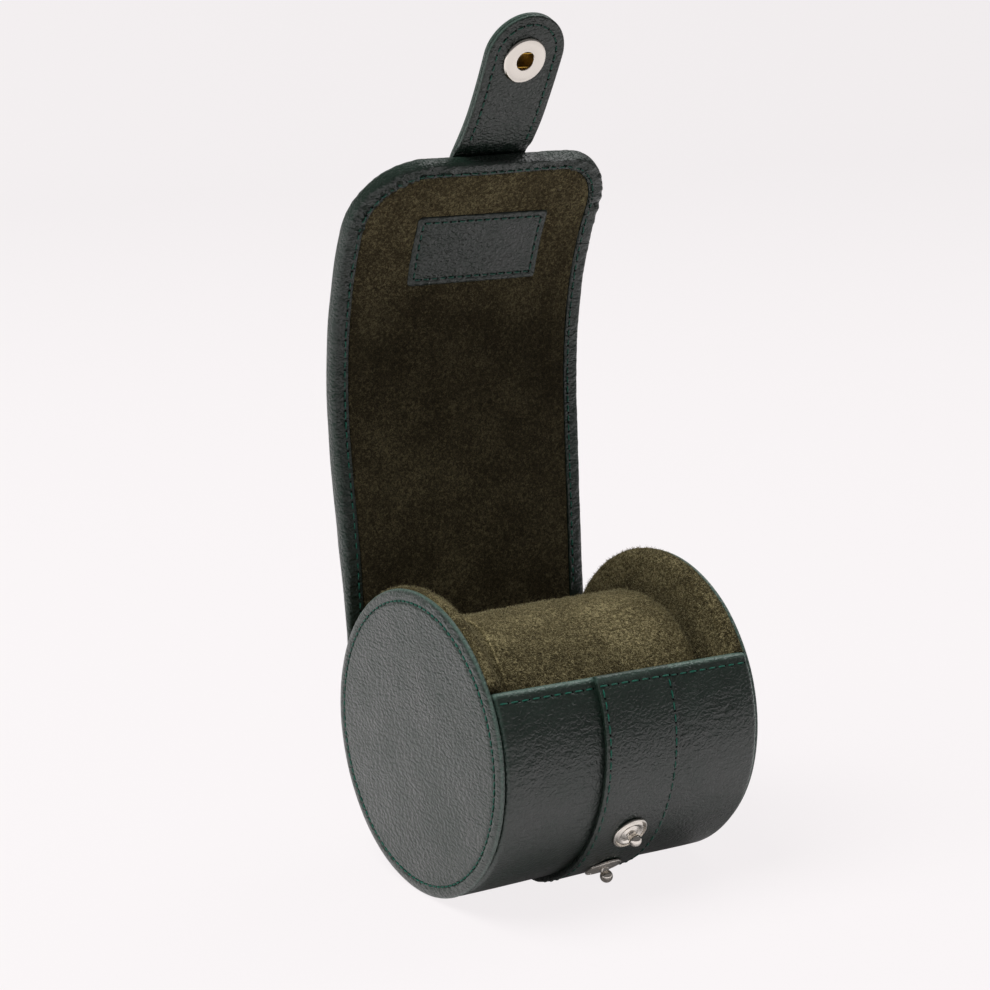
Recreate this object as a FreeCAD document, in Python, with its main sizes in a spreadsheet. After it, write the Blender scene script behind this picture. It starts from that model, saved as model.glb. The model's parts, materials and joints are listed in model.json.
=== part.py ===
import FreeCAD, Part
import math
import os
import re
import Sketcher
from FreeCAD import Placement, Rotation, Vector

# Watch roll: a short leather cylinder lying on its side, open at the top, with a padded flap that
# stands up at the back and closes over the front with a snap tab.
# Frame: X along the roll's axis, -Y to the front, +Y to the back, +Z up. The origin is on the table,
# in the middle of the flat that the strap rests on. Lengths are in millimetres, angles in degrees.
# The flap bends in panels: each leans back by its own angle and turns about a line on its lining.

SIZES = [
    # the round body
    ("roll_radius", 40.0, "outside of the wall and of the leather end faces"),
    ("roll_length", 81.2, "over both end faces"),
    ("band_pressed", 0.2, "strap left under the roll, where it is pressed flat"),
    ("end_leather", 2.0, "leather of an end face"),
    ("end_round", 0.9, "rounding of an end face's rim"),
    ("rim_gap", 0.3, "groove between an end face and the wall"),
    ("end_board", 2.0, "board of an end disc"),
    ("end_pad", 2.3, "suede and padding on the inner side of an end disc"),
    ("pad_proud", 0.2, "suede edge of an end disc beyond the wall, above the lips"),
    ("pad_wrap", 1.8, "suede and padding over the edge of an end disc"),
    ("pad_round", 2.2, "rounding of the suede's inner edge"),
    ("wall_leather", 1.5, "leather of the wall"),
    ("wall_board", 1.5, "board of the wall"),
    ("wall_lining", 0.6, "suede inside the wall"),
    ("front_lip_angle", 31.0, "front lip above the horizontal"),
    ("back_lip_angle", 22.0, "back lip above the horizontal"),
    ("lip_turn", 2.0, "leather turned over the front lip"),
    ("lip_clearance_angle", 1.5, "angle between the front lip and the bare suede edge"),
    ("hinge_clearance_angle", 4.0, "angle between the back lip and the bare suede edge"),
    ("fit_gap", 0.1, "end disc inside the wall"),
    # the pillow
    ("pillow_radius", 28.4, "pillow at its ends"),
    ("pillow_crown", 1.0, "swell of the pillow at its middle"),
    ("pillow_round", 5.0, "rounding of the pillow's ends"),
    ("pillow_cover", 1.2, "suede of the pillow"),
    # the strap and its studs
    ("band_width", 22.5, "strap round the roll and up the flap"),
    ("band_thickness", 1.9, "strap leather"),
    ("band_offset", 2.0, "strap, studs, label and tab to the right of the middle"),
    ("band_end_angle", 5.0, "angle between the strap's end on the wall and the back lip"),
    ("upper_stud_angle", 30.0, "upper stud below the horizontal"),
    ("lower_stud_angle", 53.3, "lower stud below the horizontal"),
    ("flange_radius", 5.0, "stud flange"),
    ("flange_thickness", 0.8, "stud flange"),
    ("neck_radius", 1.2, "stud neck"),
    ("ball_radius", 1.7, "stud ball"),
    ("ball_height", 2.9, "ball centre above the strap"),
    ("rivet_radius", 1.4, "shank behind a stud"),
    ("rivet_head_radius", 3.2, "head inside the wall board"),
    ("rivet_head", 0.5, "thickness of that head"),
    # the flap
    ("hinge_stand", 2.5, "hinge line outside the wall"),
    ("hinge_angle", 30.0, "hinge line above the horizontal at the back"),
    ("hinge_thickness", 2.2, "flap at the hinge, with no core"),
    ("hinge_core_start", 6.0, "core above the hinge line"),
    ("hinge_strip", 7.5, "wall leather below the hinge line"),
    ("hinge_slant_angle", 62.0, "slope of that leather's top edge, which lets the flap fold back"),
    ("flap_thickness", 4.5, "leather, core and lining"),
    ("flap_leather", 1.2, "leather of the flap"),
    ("flap_lining", 0.8, "suede of the flap"),
    ("flap_border", 3.75, "leather turned onto the lining side"),
    ("flap_corner", 21.0, "round corners of the flap's end"),
    ("panel_length", 22.1, "each of the four lower panels"),
    ("panel_gap", 0.3, "between neighbouring panels"),
    ("panel_angle_1", 4.0, "lean of the lowest panel, positive to the back"),
    ("panel_angle_2", 7.0, "lean of the next"),
    ("panel_angle_3", 4.0, "lean of the next"),
    ("panel_angle_4", -6.5, "lean of the next"),
    ("end_angle", -12.5, "lean of the end panel where it starts"),
    ("end_bend_radius", 90.0, "lining radius of the bent end panel"),
    ("end_sweep_angle", 23.5, "bend of the end panel"),
    ("band_start", 3.5, "strap on the flap above the hinge line"),
    # the label patch
    ("label_width", 39.4, "label patch along the roll"),
    ("label_height", 20.0, "label patch up the flap"),
    ("label_thickness", 0.8, "label patch"),
    ("label_proud", 0.3, "label patch above the lining it is pressed into"),
    ("label_start", 2.2, "label patch above the end panel's lower edge"),
    # the tab and its snap
    ("tab_leather", 1.4, "outer leather of the tab"),
    ("tab_lining", 1.2, "inner leather of the tab"),
    ("tab_base_length", 13.91, "tab from the flap's end to its own bend"),
    ("tab_base_angle", -36.0, "lean of that stretch"),
    ("socket_distance", 16.0, "bend to the middle of the socket"),
    ("tab_tip", 12.9, "middle of the socket to the tip"),
    ("tab_tip_flat", 0.06, "straight edge left at the middle of the round tip"),
    ("tab_end_angle", -25.0, "lean of the stretch with the socket"),
    ("socket_radius", 6.5, "snap socket"),
    ("socket_thickness", 1.6, "snap socket, proud of the tab"),
    ("socket_hole", 2.5, "mouth for the ball"),
    ("socket_plate", 0.4, "plate round the mouth"),
    ("chamber_radius", 4.2, "chamber of the spring wires"),
    ("chamber_height", 0.7, "chamber of the spring wires"),
    ("cap_radius", 6.25, "snap cap on the tab's outside"),
    ("cap_height", 1.8, "snap cap"),
    ("cap_shoulder_radius", 4.4, "where the cap's dome flattens"),
    ("cap_shoulder_drop", 0.4, "that place below the top of the cap"),
    ("tube_radius", 3.2, "tube of the cap, through the tab"),
    ("tube_wall", 0.5, "wall of that tube"),
    ("wire_radius", 0.25, "spring wire"),
    ("wire_spacing", 3.7, "between the two spring wires"),
]

doc = FreeCAD.newDocument("WatchRoll")
sheet = doc.addObject("Spreadsheet::Sheet", "Sizes")
for row, (alias, number, note) in enumerate(SIZES, start=1):
    sheet.set(f"A{row}", note)
    sheet.set(f"B{row}", str(number))
    sheet.setAlias(f"B{row}", alias)
doc.recompute()
aliases = {alias for alias, number, note in SIZES}
same_place = 1e-4
sub_parts = []


def size(alias):
    return float(sheet.get(alias))


# A formula in plain size names, as the sheet's cells
def cells(formula):
    def name_cell(match):
        word = match.group(0)
        return "Sizes." + word if word in aliases else word
    return re.sub(r"[a-z][a-z_0-9]*", name_cell, str(formula))


def keep(piece, label):
    piece.Label = label
    sub_parts.append(piece)
    return piece


def new_body(name):
    return doc.addObject("PartDesign::Body", name)


def new_sketch(body, role):
    sketch = body.newObject("Sketcher::SketchObject", body.Name + "_outline")
    plane = next(item for item in body.Origin.OriginFeatures if item.Role == role)
    sketch.AttachmentSupport = (plane, [""])
    sketch.MapMode = "FlatFace"
    return sketch


# A closed outline of straight sides whose corners are formulas
def outline(body, role, corners):
    sketch = new_sketch(body, role)
    count = len(corners)
    turn = 2 * math.pi / count
    start_points = [Vector(math.cos(turn * k), math.sin(turn * k), 0) for k in range(count)]
    for k in range(count):
        sketch.addGeometry(Part.LineSegment(start_points[k], start_points[(k + 1) % count]), False)
    for k in range(count):
        sketch.addConstraint(Sketcher.Constraint("Coincident", k, 2, (k + 1) % count, 1))
    for k, corner in enumerate(corners):
        for kind, formula in zip(("DistanceX", "DistanceY"), corner):
            index = sketch.addConstraint(Sketcher.Constraint(kind, -1, 1, k, 1, 1.0))
            sketch.setExpression(f"Constraints[{index}]", cells(formula))
    return sketch


# Turn an outline (along the axis, away from it) about the body's X axis
def turned(body, corners, sweep):
    sketch = outline(body, "XY_Plane", corners)
    feature = body.newObject("PartDesign::Revolution", body.Name + "_turn")
    feature.Profile = sketch
    feature.ReferenceAxis = (sketch, ["H_Axis"])
    feature.setExpression("Angle", cells(sweep))
    return feature


# Extrude a side outline (outwards, upwards) to both sides of the middle
def padded(body, corners, width):
    sketch = outline(body, "YZ_Plane", corners)
    feature = body.newObject("PartDesign::Pad", body.Name + "_pad")
    feature.Profile = sketch
    feature.setExpression("Length", cells(width))
    feature.Midplane = True
    return feature


# A small round part: outline (radius, height) turned about the body's Z axis
def lathed(body, corners):
    sketch = outline(body, "XZ_Plane", corners)
    feature = body.newObject("PartDesign::Revolution", body.Name + "_turn")
    feature.Profile = sketch
    feature.ReferenceAxis = (sketch, ["V_Axis"])
    feature.Angle = 360
    return feature


def rounded(body, feature, chosen, radius):
    doc.recompute()
    names = [f"Edge{k}" for k, edge in enumerate(feature.Shape.Edges, start=1) if chosen(edge)]
    fillet = body.newObject("PartDesign::Fillet", body.Name + "_round")
    fillet.Base = (feature, names)
    fillet.setExpression("Radius", cells(radius))
    return fillet


def cut(name, base, tool):
    result = doc.addObject("Part::Cut", name)
    result.Base = base
    result.Tool = tool
    return result


def group(name, members):
    result = doc.addObject("Part::Compound", name)
    result.Links = members
    return result


def near(first, second):
    return abs(first - second) < same_place


def is_circle(edge, radius):
    return edge.Curve.TypeId == "Part::GeomCircle" and near(edge.Curve.Radius, radius)


def rectangle(low_x, high_x, low_y, high_y):
    return [(low_x, low_y), (high_x, low_y), (high_x, high_y), (low_x, high_y)]


# Places: on the roll's axis turned to an angle, and on the flap with a lean
def on_axis(angle, x=0.0):
    return Placement(Vector(x, 0, axis_height), Rotation(Vector(1, 0, 0), angle))


def leaning(point, lean, x=0.0):
    return Placement(Vector(x, point[0], point[1]), Rotation(Vector(1, 0, 0), -lean))


# The same place for a round part whose Z axis points out of the panel
def facing_out(point, lean, x):
    return Placement(Vector(x, point[0], point[1]), Rotation(Vector(1, 0, 0), -90 - lean))


def step(point, lean, up, out=0.0):
    tilt = math.radians(lean)
    return (point[0] + up * math.sin(tilt) + out * math.cos(tilt),
            point[1] + up * math.cos(tilt) - out * math.sin(tilt))


def ring(name, corners, start, sweep, x=0.0):
    body = new_body(name)
    turned(body, corners, sweep)
    body.Placement = on_axis(start, x)
    return body


axis_height = size("roll_radius") + size("band_pressed")
hinge_radius = size("roll_radius") + size("hinge_stand")
pad_radius = size("roll_radius") + size("pad_proud")
offset = size("band_offset")
front_start = 180 - size("front_lip_angle")
wall_sweep = "180 + front_lip_angle + back_lip_angle"
lip_sweep = "lip_turn / roll_radius * 180 / pi"
wall_half = "roll_length / 2 - end_leather - rim_gap"
board_outside = "roll_radius - wall_leather"
board_inside = "roll_radius - wall_leather - wall_board"
wall_inside = "roll_radius - wall_leather - wall_board - wall_lining"
band_outside = "roll_radius + band_thickness"
pad_outside = "roll_radius + pad_proud"
flap_width = "(roll_length - 2 * (end_leather + rim_gap))"

# The flap's hinge line, and the line about which each panel turns, at rest
hinge_direction = math.radians(size("hinge_angle"))
hinge = (hinge_radius * math.cos(hinge_direction),
         axis_height + hinge_radius * math.sin(hinge_direction))
panel_leans = [size(f"panel_angle_{k}") for k in range(1, 5)]
panel_starts = [hinge]
for lean in panel_leans:
    panel_starts.append(step(panel_starts[-1], lean, size("panel_length")))
bend_centre = step(panel_starts[4], size("end_angle"), 0, -size("end_bend_radius"))
flap_end_lean = size("end_angle") - size("end_sweep_angle")
tab_start = step(bend_centre, flap_end_lean, 0, size("end_bend_radius") + size("flap_thickness"))
tab_bend = step(tab_start, size("tab_base_angle"), size("tab_base_length"))
socket_centre = step(tab_bend, size("tab_end_angle"), size("socket_distance"))


# Rivets behind the studs, which the wall and the strap are pierced for
def stud_angles():
    return [180 + size("upper_stud_angle"), 180 + size("lower_stud_angle")]


def make_rivets():
    rivets = []
    for k, angle in enumerate(stud_angles(), start=1):
        body = new_body(f"rivet_{k}")
        head_top = f"{board_inside} + rivet_head"
        lathed(body, [("0", board_inside), ("rivet_head_radius", board_inside),
                      ("rivet_head_radius", head_top), ("rivet_radius", head_top),
                      ("rivet_radius", band_outside), ("0", band_outside)])
        body.Placement = on_axis(angle - 90, offset)
        rivets.append(body)
    return keep(group("stud_rivets", rivets), "stud_rivets")


def make_studs():
    studs = []
    for k, angle in enumerate(stud_angles(), start=1):
        flange = doc.addObject("Part::Cylinder", f"flange_{k}")
        flange.setExpression("Radius", cells("flange_radius"))
        flange.setExpression("Height", cells("flange_thickness"))
        neck = doc.addObject("Part::Cylinder", f"neck_{k}")
        neck.setExpression("Radius", cells("neck_radius"))
        neck.setExpression("Height", cells("ball_height"))
        ball = doc.addObject("Part::Sphere", f"ball_{k}")
        ball.setExpression("Radius", cells("ball_radius"))
        ball.setExpression("Placement.Base.z", cells("ball_height"))
        stud = doc.addObject("Part::MultiFuse", f"stud_{k}")
        stud.Shapes = [flange, neck, ball]
        direction = math.radians(angle)
        reach = size("roll_radius") + size("band_thickness")
        stud.Placement = Placement(
            Vector(offset, reach * math.cos(direction), axis_height + reach * math.sin(direction)),
            Rotation(Vector(1, 0, 0), angle - 90))
        studs.append(stud)
    return keep(group("closing_studs", studs), "closing_studs")


# Wall: leather outside with its turned front lip and the hinge leather, board, suede inside
def make_wall(rivets):
    leather = ring("wall_leather_ring",
                   rectangle(f"-({wall_half})", wall_half, board_outside, "roll_radius"),
                   front_start, wall_sweep)
    lip = ring("wall_lip", rectangle(f"-({wall_half})", wall_half, wall_inside, board_outside),
               front_start, lip_sweep)
    strip = new_body("hinge_leather")
    top = "-panel_gap / 2"
    padded(strip, [("0", top), ("wall_leather", f"{top} - wall_leather * tan(hinge_slant_angle)"),
                   ("wall_leather", "-hinge_strip"), ("0", "-hinge_strip")], flap_width)
    strip.Placement = leaning(hinge, size("panel_angle_1"))
    whole = doc.addObject("Part::MultiFuse", "wall_leather_whole")
    whole.Shapes = [leather, lip, strip]
    keep(cut("wall_leather", whole, rivets), "wall_leather")

    inner_start = front_start + math.degrees(size("lip_turn") / size("roll_radius"))
    inner_sweep = f"{wall_sweep} - {lip_sweep}"
    board = ring("wall_board_ring", rectangle(f"-({wall_half})", wall_half, board_inside, board_outside),
                 inner_start, inner_sweep)
    keep(cut("wall_board", board, rivets), "wall_board")
    lining = ring("wall_lining", rectangle(f"-({wall_half})", wall_half, wall_inside, board_inside),
                  inner_start, inner_sweep)
    keep(lining, "wall_lining")


# End discs: leather face, board and suede pad, bare of the wall above the lips
def make_end(name, side):
    face_out = f"{side} * roll_length / 2"
    face_in = f"{side} * (roll_length / 2 - end_leather)"
    pad_out = f"{side} * (roll_length / 2 - end_leather - end_board)"
    pad_in = f"{side} * (roll_length / 2 - end_leather - end_board - end_pad)"
    disc_radius = f"{wall_inside} - fit_gap"
    edge_radius = f"{pad_outside} - pad_wrap"
    bare_start = size("back_lip_angle") + size("hinge_clearance_angle")
    bare_sweep = "180 - front_lip_angle - lip_clearance_angle - back_lip_angle - hinge_clearance_angle"

    face = new_body(f"{name}_end_face")
    feature = turned(face, rectangle(face_out, face_in, "0", "roll_radius"), "360")
    rounded(face, feature, lambda edge: is_circle(edge, size("roll_radius")), "end_round")
    face.Placement = on_axis(0)
    keep(face, f"{name}_end_face")

    board = new_body(f"{name}_end_board")
    turned(board, rectangle(face_in, pad_out, "0", disc_radius), "360")
    turned(board, rectangle(face_in, pad_out, "0", edge_radius), bare_sweep)
    board.Placement = on_axis(bare_start)
    keep(board, f"{name}_end_board")

    pad = new_body(f"{name}_end_pad")
    turned(pad, rectangle(pad_out, pad_in, "0", disc_radius), "360")
    feature = turned(pad, [(pad_in, "0"), (pad_in, pad_outside), (face_in, pad_outside),
                           (face_in, edge_radius), (pad_out, edge_radius), (pad_out, "0")], bare_sweep)
    inner_x = side * (size("roll_length") / 2 - size("end_leather") - size("end_board") - size("end_pad"))
    rounded(pad, feature, lambda edge: is_circle(edge, pad_radius)
            and near(edge.Vertexes[0].X, inner_x), "pad_round")
    pad.Placement = on_axis(bare_start)
    keep(pad, f"{name}_end_pad")


# Pillow: a crowned round cushion between the end discs, with rounded ends, suede over foam
def pillow_form(name, inset):
    half_formula = f"roll_length / 2 - end_leather - end_board - end_pad - {inset}"
    radius_formula = f"pillow_radius - {inset}"
    crown_formula = f"(({half_formula}) ^ 2 + pillow_crown ^ 2) / (2 * pillow_crown)"
    depth = size(inset) if inset in aliases else 0.0
    half = size("roll_length") / 2 - size("end_leather") - size("end_board") - size("end_pad") - depth
    end_radius = size("pillow_radius") - depth
    crown = size("pillow_crown")
    corners = [Vector(half, end_radius, 0), Vector(-half, end_radius, 0),
               Vector(-half, 0, 0), Vector(half, 0, 0)]
    body = new_body(name)
    sketch = new_sketch(body, "XY_Plane")
    sketch.addGeometry(Part.Arc(corners[0], Vector(0, end_radius + crown, 0), corners[1]), False)
    for first, second in ((1, 2), (2, 3), (3, 0)):
        sketch.addGeometry(Part.LineSegment(corners[first], corners[second]), False)
    for first in range(4):
        sketch.addConstraint(Sketcher.Constraint("Coincident", first, 2, (first + 1) % 4, 1))
    for point in (1, 2):
        sketch.addConstraint(Sketcher.Constraint("PointOnObject", 2, point, -1))
    crown_radius = (half * half + crown * crown) / (2 * crown)
    bindings = [(("DistanceX", -1, 1, 2, 2, half), half_formula),
                (("DistanceX", 2, 1, -1, 1, half), half_formula),
                (("DistanceY", -1, 1, 1, 1, end_radius), radius_formula),
                (("DistanceY", -1, 1, 3, 2, end_radius), radius_formula),
                (("Radius", 0, crown_radius), crown_formula)]
    for arguments, formula in bindings:
        index = sketch.addConstraint(Sketcher.Constraint(*arguments))
        sketch.setExpression(f"Constraints[{index}]", cells(formula))
    feature = body.newObject("PartDesign::Revolution", name + "_turn")
    feature.Profile = sketch
    feature.ReferenceAxis = (sketch, ["H_Axis"])
    feature.Angle = 360
    rounded(body, feature, lambda edge: is_circle(edge, end_radius), f"pillow_round - {inset}")
    body.Placement = on_axis(0)
    return body


def make_pillow():
    core = keep(pillow_form("pillow_core", "pillow_cover"), "pillow_core")
    whole = pillow_form("pillow_whole", "0")
    keep(cut("pillow_cover", whole, core), "pillow_cover")


# Strap on the wall, from the front lip under the roll to the back, pressed flat where the roll rests
def make_front_band(rivets):
    strap = ring("band_ring", rectangle("-band_width / 2", "band_width / 2", "roll_radius", band_outside),
                 front_start, f"{wall_sweep} - band_end_angle", offset)
    table = doc.addObject("Part::Box", "below_table")
    table.setExpression("Length", cells("2 * band_width"))
    table.setExpression("Width", cells("2 * roll_radius"))
    table.setExpression("Height", cells("roll_radius"))
    corner = Vector(offset - size("band_width"), -size("roll_radius"), -size("roll_radius"))
    table.Placement = Placement(corner, Rotation())
    flat = cut("band_flat", strap, table)
    keep(cut("front_band", flat, rivets), "front_band")


# A layer of a flat panel from one depth to another, its ends mitred to the neighbouring panels
def panel_layer(name, panel, depths, width):
    low, high = depths
    lower = f"(panel_angle_{panel - 1} - panel_angle_{panel}) / 2" if panel > 1 else "0"
    upper_angle = f"panel_angle_{panel + 1}" if panel < 4 else "end_angle"
    upper = f"(panel_angle_{panel} - {upper_angle}) / 2"

    def bottom(depth):
        return f"panel_gap / 2 - ({depth}) * tan({lower})"

    def top(depth):
        return f"panel_length - panel_gap / 2 + ({depth}) * tan({upper})"
    body = new_body(name)
    padded(body, [(low, bottom(low)), (high, bottom(high)), (high, top(high)), (low, top(low))], width)
    body.Placement = leaning(panel_starts[panel - 1], panel_leans[panel - 1])
    return body


core_outside = "flap_thickness - flap_leather"
core_width = f"{flap_width} - 2 * flap_leather"
lining_width = f"{flap_width} - 2 * flap_border"


# Lowest panel: it thins towards the hinge, where the core stops
def make_hinge_panel():
    top = "panel_length - panel_gap / 2"
    miter = "tan((panel_angle_1 - panel_angle_2) / 2)"
    rise = f"(flap_thickness - hinge_thickness) / (panel_length - panel_gap + flap_thickness * {miter})"
    place = leaning(hinge, size("panel_angle_1"))

    def top_at(depth):
        return f"{top} + ({depth}) * {miter}"
    whole = new_body("flap_whole_1")
    padded(whole, [("0", "panel_gap / 2"), ("hinge_thickness", "panel_gap / 2"),
                   ("flap_thickness", top_at("flap_thickness")), ("0", top)], flap_width)
    core = new_body("flap_core_1")
    core_start_depth = f"hinge_thickness + (hinge_core_start - panel_gap / 2) * {rise} - flap_leather"
    padded(core, [("flap_lining", "hinge_core_start"), (core_start_depth, "hinge_core_start"),
                  (core_outside, top_at(core_outside)), ("flap_lining", top_at("flap_lining"))], core_width)
    lining = new_body("flap_lining_1")
    padded(lining, [("0", "panel_gap / 2"), ("flap_lining", "panel_gap / 2"),
                    ("flap_lining", top_at("flap_lining")), ("0", top)], lining_width)
    band = new_body("flap_band_1")
    band_depth = f"hinge_thickness + (band_start - panel_gap / 2) * {rise}"
    padded(band, [(band_depth, "band_start"), (f"{band_depth} + band_thickness", "band_start"),
                  ("flap_thickness + band_thickness", top_at("flap_thickness + band_thickness")),
                  ("flap_thickness", top_at("flap_thickness"))], "band_width")
    for body in (whole, core, lining):
        body.Placement = place
    band.Placement = leaning(hinge, size("panel_angle_1"), offset)
    keep_panel(1, whole, core, lining, lining, band)


# The leather of a panel is what its core and the window for its lining leave of the whole
def keep_panel(panel, whole, core, window, lining, band):
    hollow = cut(f"flap_hollow_{panel}", whole, core)
    keep(cut(f"flap_leather_{panel}", hollow, window), f"flap_leather_{panel}")
    keep(core, f"flap_core_{panel}")
    keep(lining, f"flap_lining_{panel}")
    keep(band, f"flap_band_{panel}")


def make_flat_panels():
    for panel in (2, 3, 4):
        whole = panel_layer(f"flap_whole_{panel}", panel, ("0", "flap_thickness"), flap_width)
        core = panel_layer(f"flap_core_{panel}", panel, ("flap_lining", core_outside), core_width)
        lining = panel_layer(f"flap_lining_{panel}", panel, ("0", "flap_lining"), lining_width)
        band = panel_layer(f"flap_band_{panel}", panel,
                           ("flap_thickness", "flap_thickness + band_thickness"), "band_width")
        band.Placement = leaning(panel_starts[panel - 1], panel_leans[panel - 1], offset)
        keep_panel(panel, whole, core, lining, lining, band)


# A layer of the bent end panel: depths from the lining, where it starts and ends along the panel
def bent_layer(name, depths, width, start, end, corner=None, x=0.0):
    low, high = depths
    body = new_body(name)
    feature = turned(body, rectangle(f"-({width}) / 2", f"({width}) / 2",
                                     f"end_bend_radius + ({low})", f"end_bend_radius + ({high})"),
                     f"({end} - {start}) / end_bend_radius * 180 / pi")
    start_turn = math.degrees(size(start) / size("end_bend_radius"))
    body.Placement = Placement(Vector(x, bend_centre[0], bend_centre[1]),
                               Rotation(Vector(1, 0, 0), start_turn - size("end_angle")))
    if corner is not None:
        doc.recompute()
        last = math.radians(feature.Angle.Value)
        rounded(body, feature, lambda edge: at_angle(edge, last) and is_straight_across(edge), corner)
    return body


# Straight edges that run out through the panel at its end
def at_angle(edge, angle):
    return all(near(math.atan2(vertex.Z, vertex.Y), angle) for vertex in edge.Vertexes)


def is_straight_across(edge):
    first, last = edge.Vertexes[0], edge.Vertexes[-1]
    return near(first.X, last.X)


end_length = "end_bend_radius * end_sweep_angle * pi / 180"


# A thin layer of the end panel with round corners, cut from a rounded form as thick as the panel
def rounded_layer(name, depths, width, start, end, corner):
    form = bent_layer(f"{name}_form", ("0", "flap_thickness"), width, start, end, corner)
    layer = bent_layer(f"{name}_layer", depths, width, start, end)
    result = doc.addObject("Part::Common", name)
    result.Base = form
    result.Tool = layer
    return result


def make_end_panel():
    start = "panel_gap"
    whole = bent_layer("flap_whole_5", ("0", "flap_thickness"), flap_width, start, end_length,
                       "flap_corner")
    core = rounded_layer("flap_core_5", ("flap_lining", core_outside), core_width, start,
                         f"{end_length} - flap_leather", "flap_corner - flap_leather")
    window = rounded_layer("flap_window", ("0", "flap_lining"), lining_width, start,
                           f"{end_length} - flap_border", "flap_corner - flap_border")
    label = bent_layer("label_patch", ("-label_proud", "label_thickness - label_proud"), "label_width",
                       "label_start", "label_start + label_height", None, offset)
    keep(label, "label_patch")
    lining = cut("flap_lining_5", window, label)
    band = bent_layer("flap_band_5", ("flap_thickness", "flap_thickness + band_thickness"), "band_width",
                      start, end_length, None, offset)
    keep_panel(5, whole, core, window, lining, band)


# Tab: two stretches of doubled leather, the second with a round tip and the snap
def make_tab():
    bend = "(tab_base_angle - tab_end_angle) / 2"
    layers = (("tab_lining", "0", "tab_lining"), ("tab_outer", "tab_lining", "tab_lining + tab_leather"))
    hole = doc.addObject("Part::Cylinder", "tab_hole")
    hole.setExpression("Radius", cells("tube_radius"))
    hole.setExpression("Height", cells("tab_lining + tab_leather"))
    hole.Placement = facing_out(socket_centre, size("tab_end_angle"), offset)
    for name, low, high in layers:
        base = new_body(f"{name}_1")
        top = "tab_base_length - panel_gap / 2"
        padded(base, [(low, "panel_gap / 2"), (high, "panel_gap / 2"),
                      (high, f"{top} + ({high}) * tan({bend})"), (low, f"{top} + ({low}) * tan({bend})")],
               "band_width")
        base.Placement = leaning(tab_start, size("tab_base_angle"), offset)
        keep(base, f"{name}_1")
        end = new_body(f"{name}_whole")
        bottom = "panel_gap / 2"
        tip = "socket_distance + tab_tip"
        feature = padded(end, [(low, f"{bottom} - ({low}) * tan({bend})"),
                               (high, f"{bottom} - ({high}) * tan({bend})"),
                               (high, tip), (low, tip)], "band_width")
        tip_height = size("socket_distance") + size("tab_tip")
        rounded(end, feature, lambda edge: is_straight_across(edge)
                and all(near(vertex.Z, tip_height) for vertex in edge.Vertexes),
                "(band_width - tab_tip_flat) / 2")
        end.Placement = leaning(tab_bend, size("tab_end_angle"), offset)
        keep(cut(f"{name}_2", end, hole), f"{name}_2")


def make_snap():
    place = facing_out(socket_centre, size("tab_end_angle"), offset)
    tab_outside = "tab_lining + tab_leather"
    bore = "tube_radius - tube_wall"

    socket = new_body("snap_socket")
    plate_top = "socket_plate - socket_thickness"
    chamber_top = "socket_plate + chamber_height - socket_thickness"
    feature = lathed(socket, [("socket_hole", "-socket_thickness"), ("socket_radius", "-socket_thickness"),
                              ("socket_radius", "0"), ("tube_radius", "0"), ("tube_radius", chamber_top),
                              ("chamber_radius", chamber_top), ("chamber_radius", plate_top),
                              ("socket_hole", plate_top)])
    rounded(socket, feature, lambda edge: is_circle(edge, size("socket_radius"))
            and near(edge.Vertexes[0].Z, -size("socket_thickness")), "socket_plate")
    socket.Placement = place
    keep(socket, "snap_socket")

    wires = []
    for k, side in enumerate((-1, 1), start=1):
        wire = doc.addObject("Part::Cylinder", f"wire_{k}")
        wire.setExpression("Radius", cells("wire_radius"))
        reach = "sqrt(chamber_radius ^ 2 - (wire_spacing / 2 + wire_radius) ^ 2)"
        wire.setExpression("Height", cells(f"2 * {reach}"))
        half = math.sqrt(size("chamber_radius") ** 2 - (size("wire_spacing") / 2 + size("wire_radius")) ** 2)
        level = size("socket_plate") + size("chamber_height") / 2 - size("socket_thickness")
        inside = Placement(Vector(-half, side * size("wire_spacing") / 2, level),
                           Rotation(Vector(0, 1, 0), 90))
        wire.Placement = place.multiply(inside)
        wires.append(wire)
    keep(group("snap_spring", wires), "snap_spring")

    cap = new_body("snap_cap")
    tube_top = f"{tab_outside} + tube_wall"
    lathed(cap, [(bore, "0"), ("tube_radius", "0"), ("tube_radius", tab_outside),
                 ("cap_radius", tab_outside), ("cap_radius", tube_top),
                 ("cap_shoulder_radius", f"{tab_outside} + cap_height - cap_shoulder_drop"),
                 ("0", f"{tab_outside} + cap_height"), ("0", tube_top), (bore, tube_top)])
    cap.Placement = place
    keep(cap, "snap_cap")


rivets = make_rivets()
make_wall(rivets)
for name, side in (("left", -1), ("right", 1)):
    make_end(name, side)
make_pillow()
make_front_band(rivets)
make_studs()
make_hinge_panel()
make_flat_panels()
make_end_panel()
make_tab()
make_snap()
doc.recompute()

failed = [item.Name for item in doc.Objects if {"Invalid", "Error"} & set(item.State)]
failed += [piece.Label for piece in sub_parts if piece.Shape.isNull() or not piece.Shape.isValid()]
if failed:
    raise RuntimeError("failed: " + ", ".join(failed))

os.makedirs("parts", exist_ok=True)
for piece in sub_parts:
    piece.Shape.exportStep(f"parts/{piece.Label}.step")
print(len(sub_parts), "sub-parts written")
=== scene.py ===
import itertools
import json
import math
import bmesh
import bpy
import numpy as np
from mathutils import Matrix, Vector
from mathutils.bvhtree import BVHTree


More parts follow.
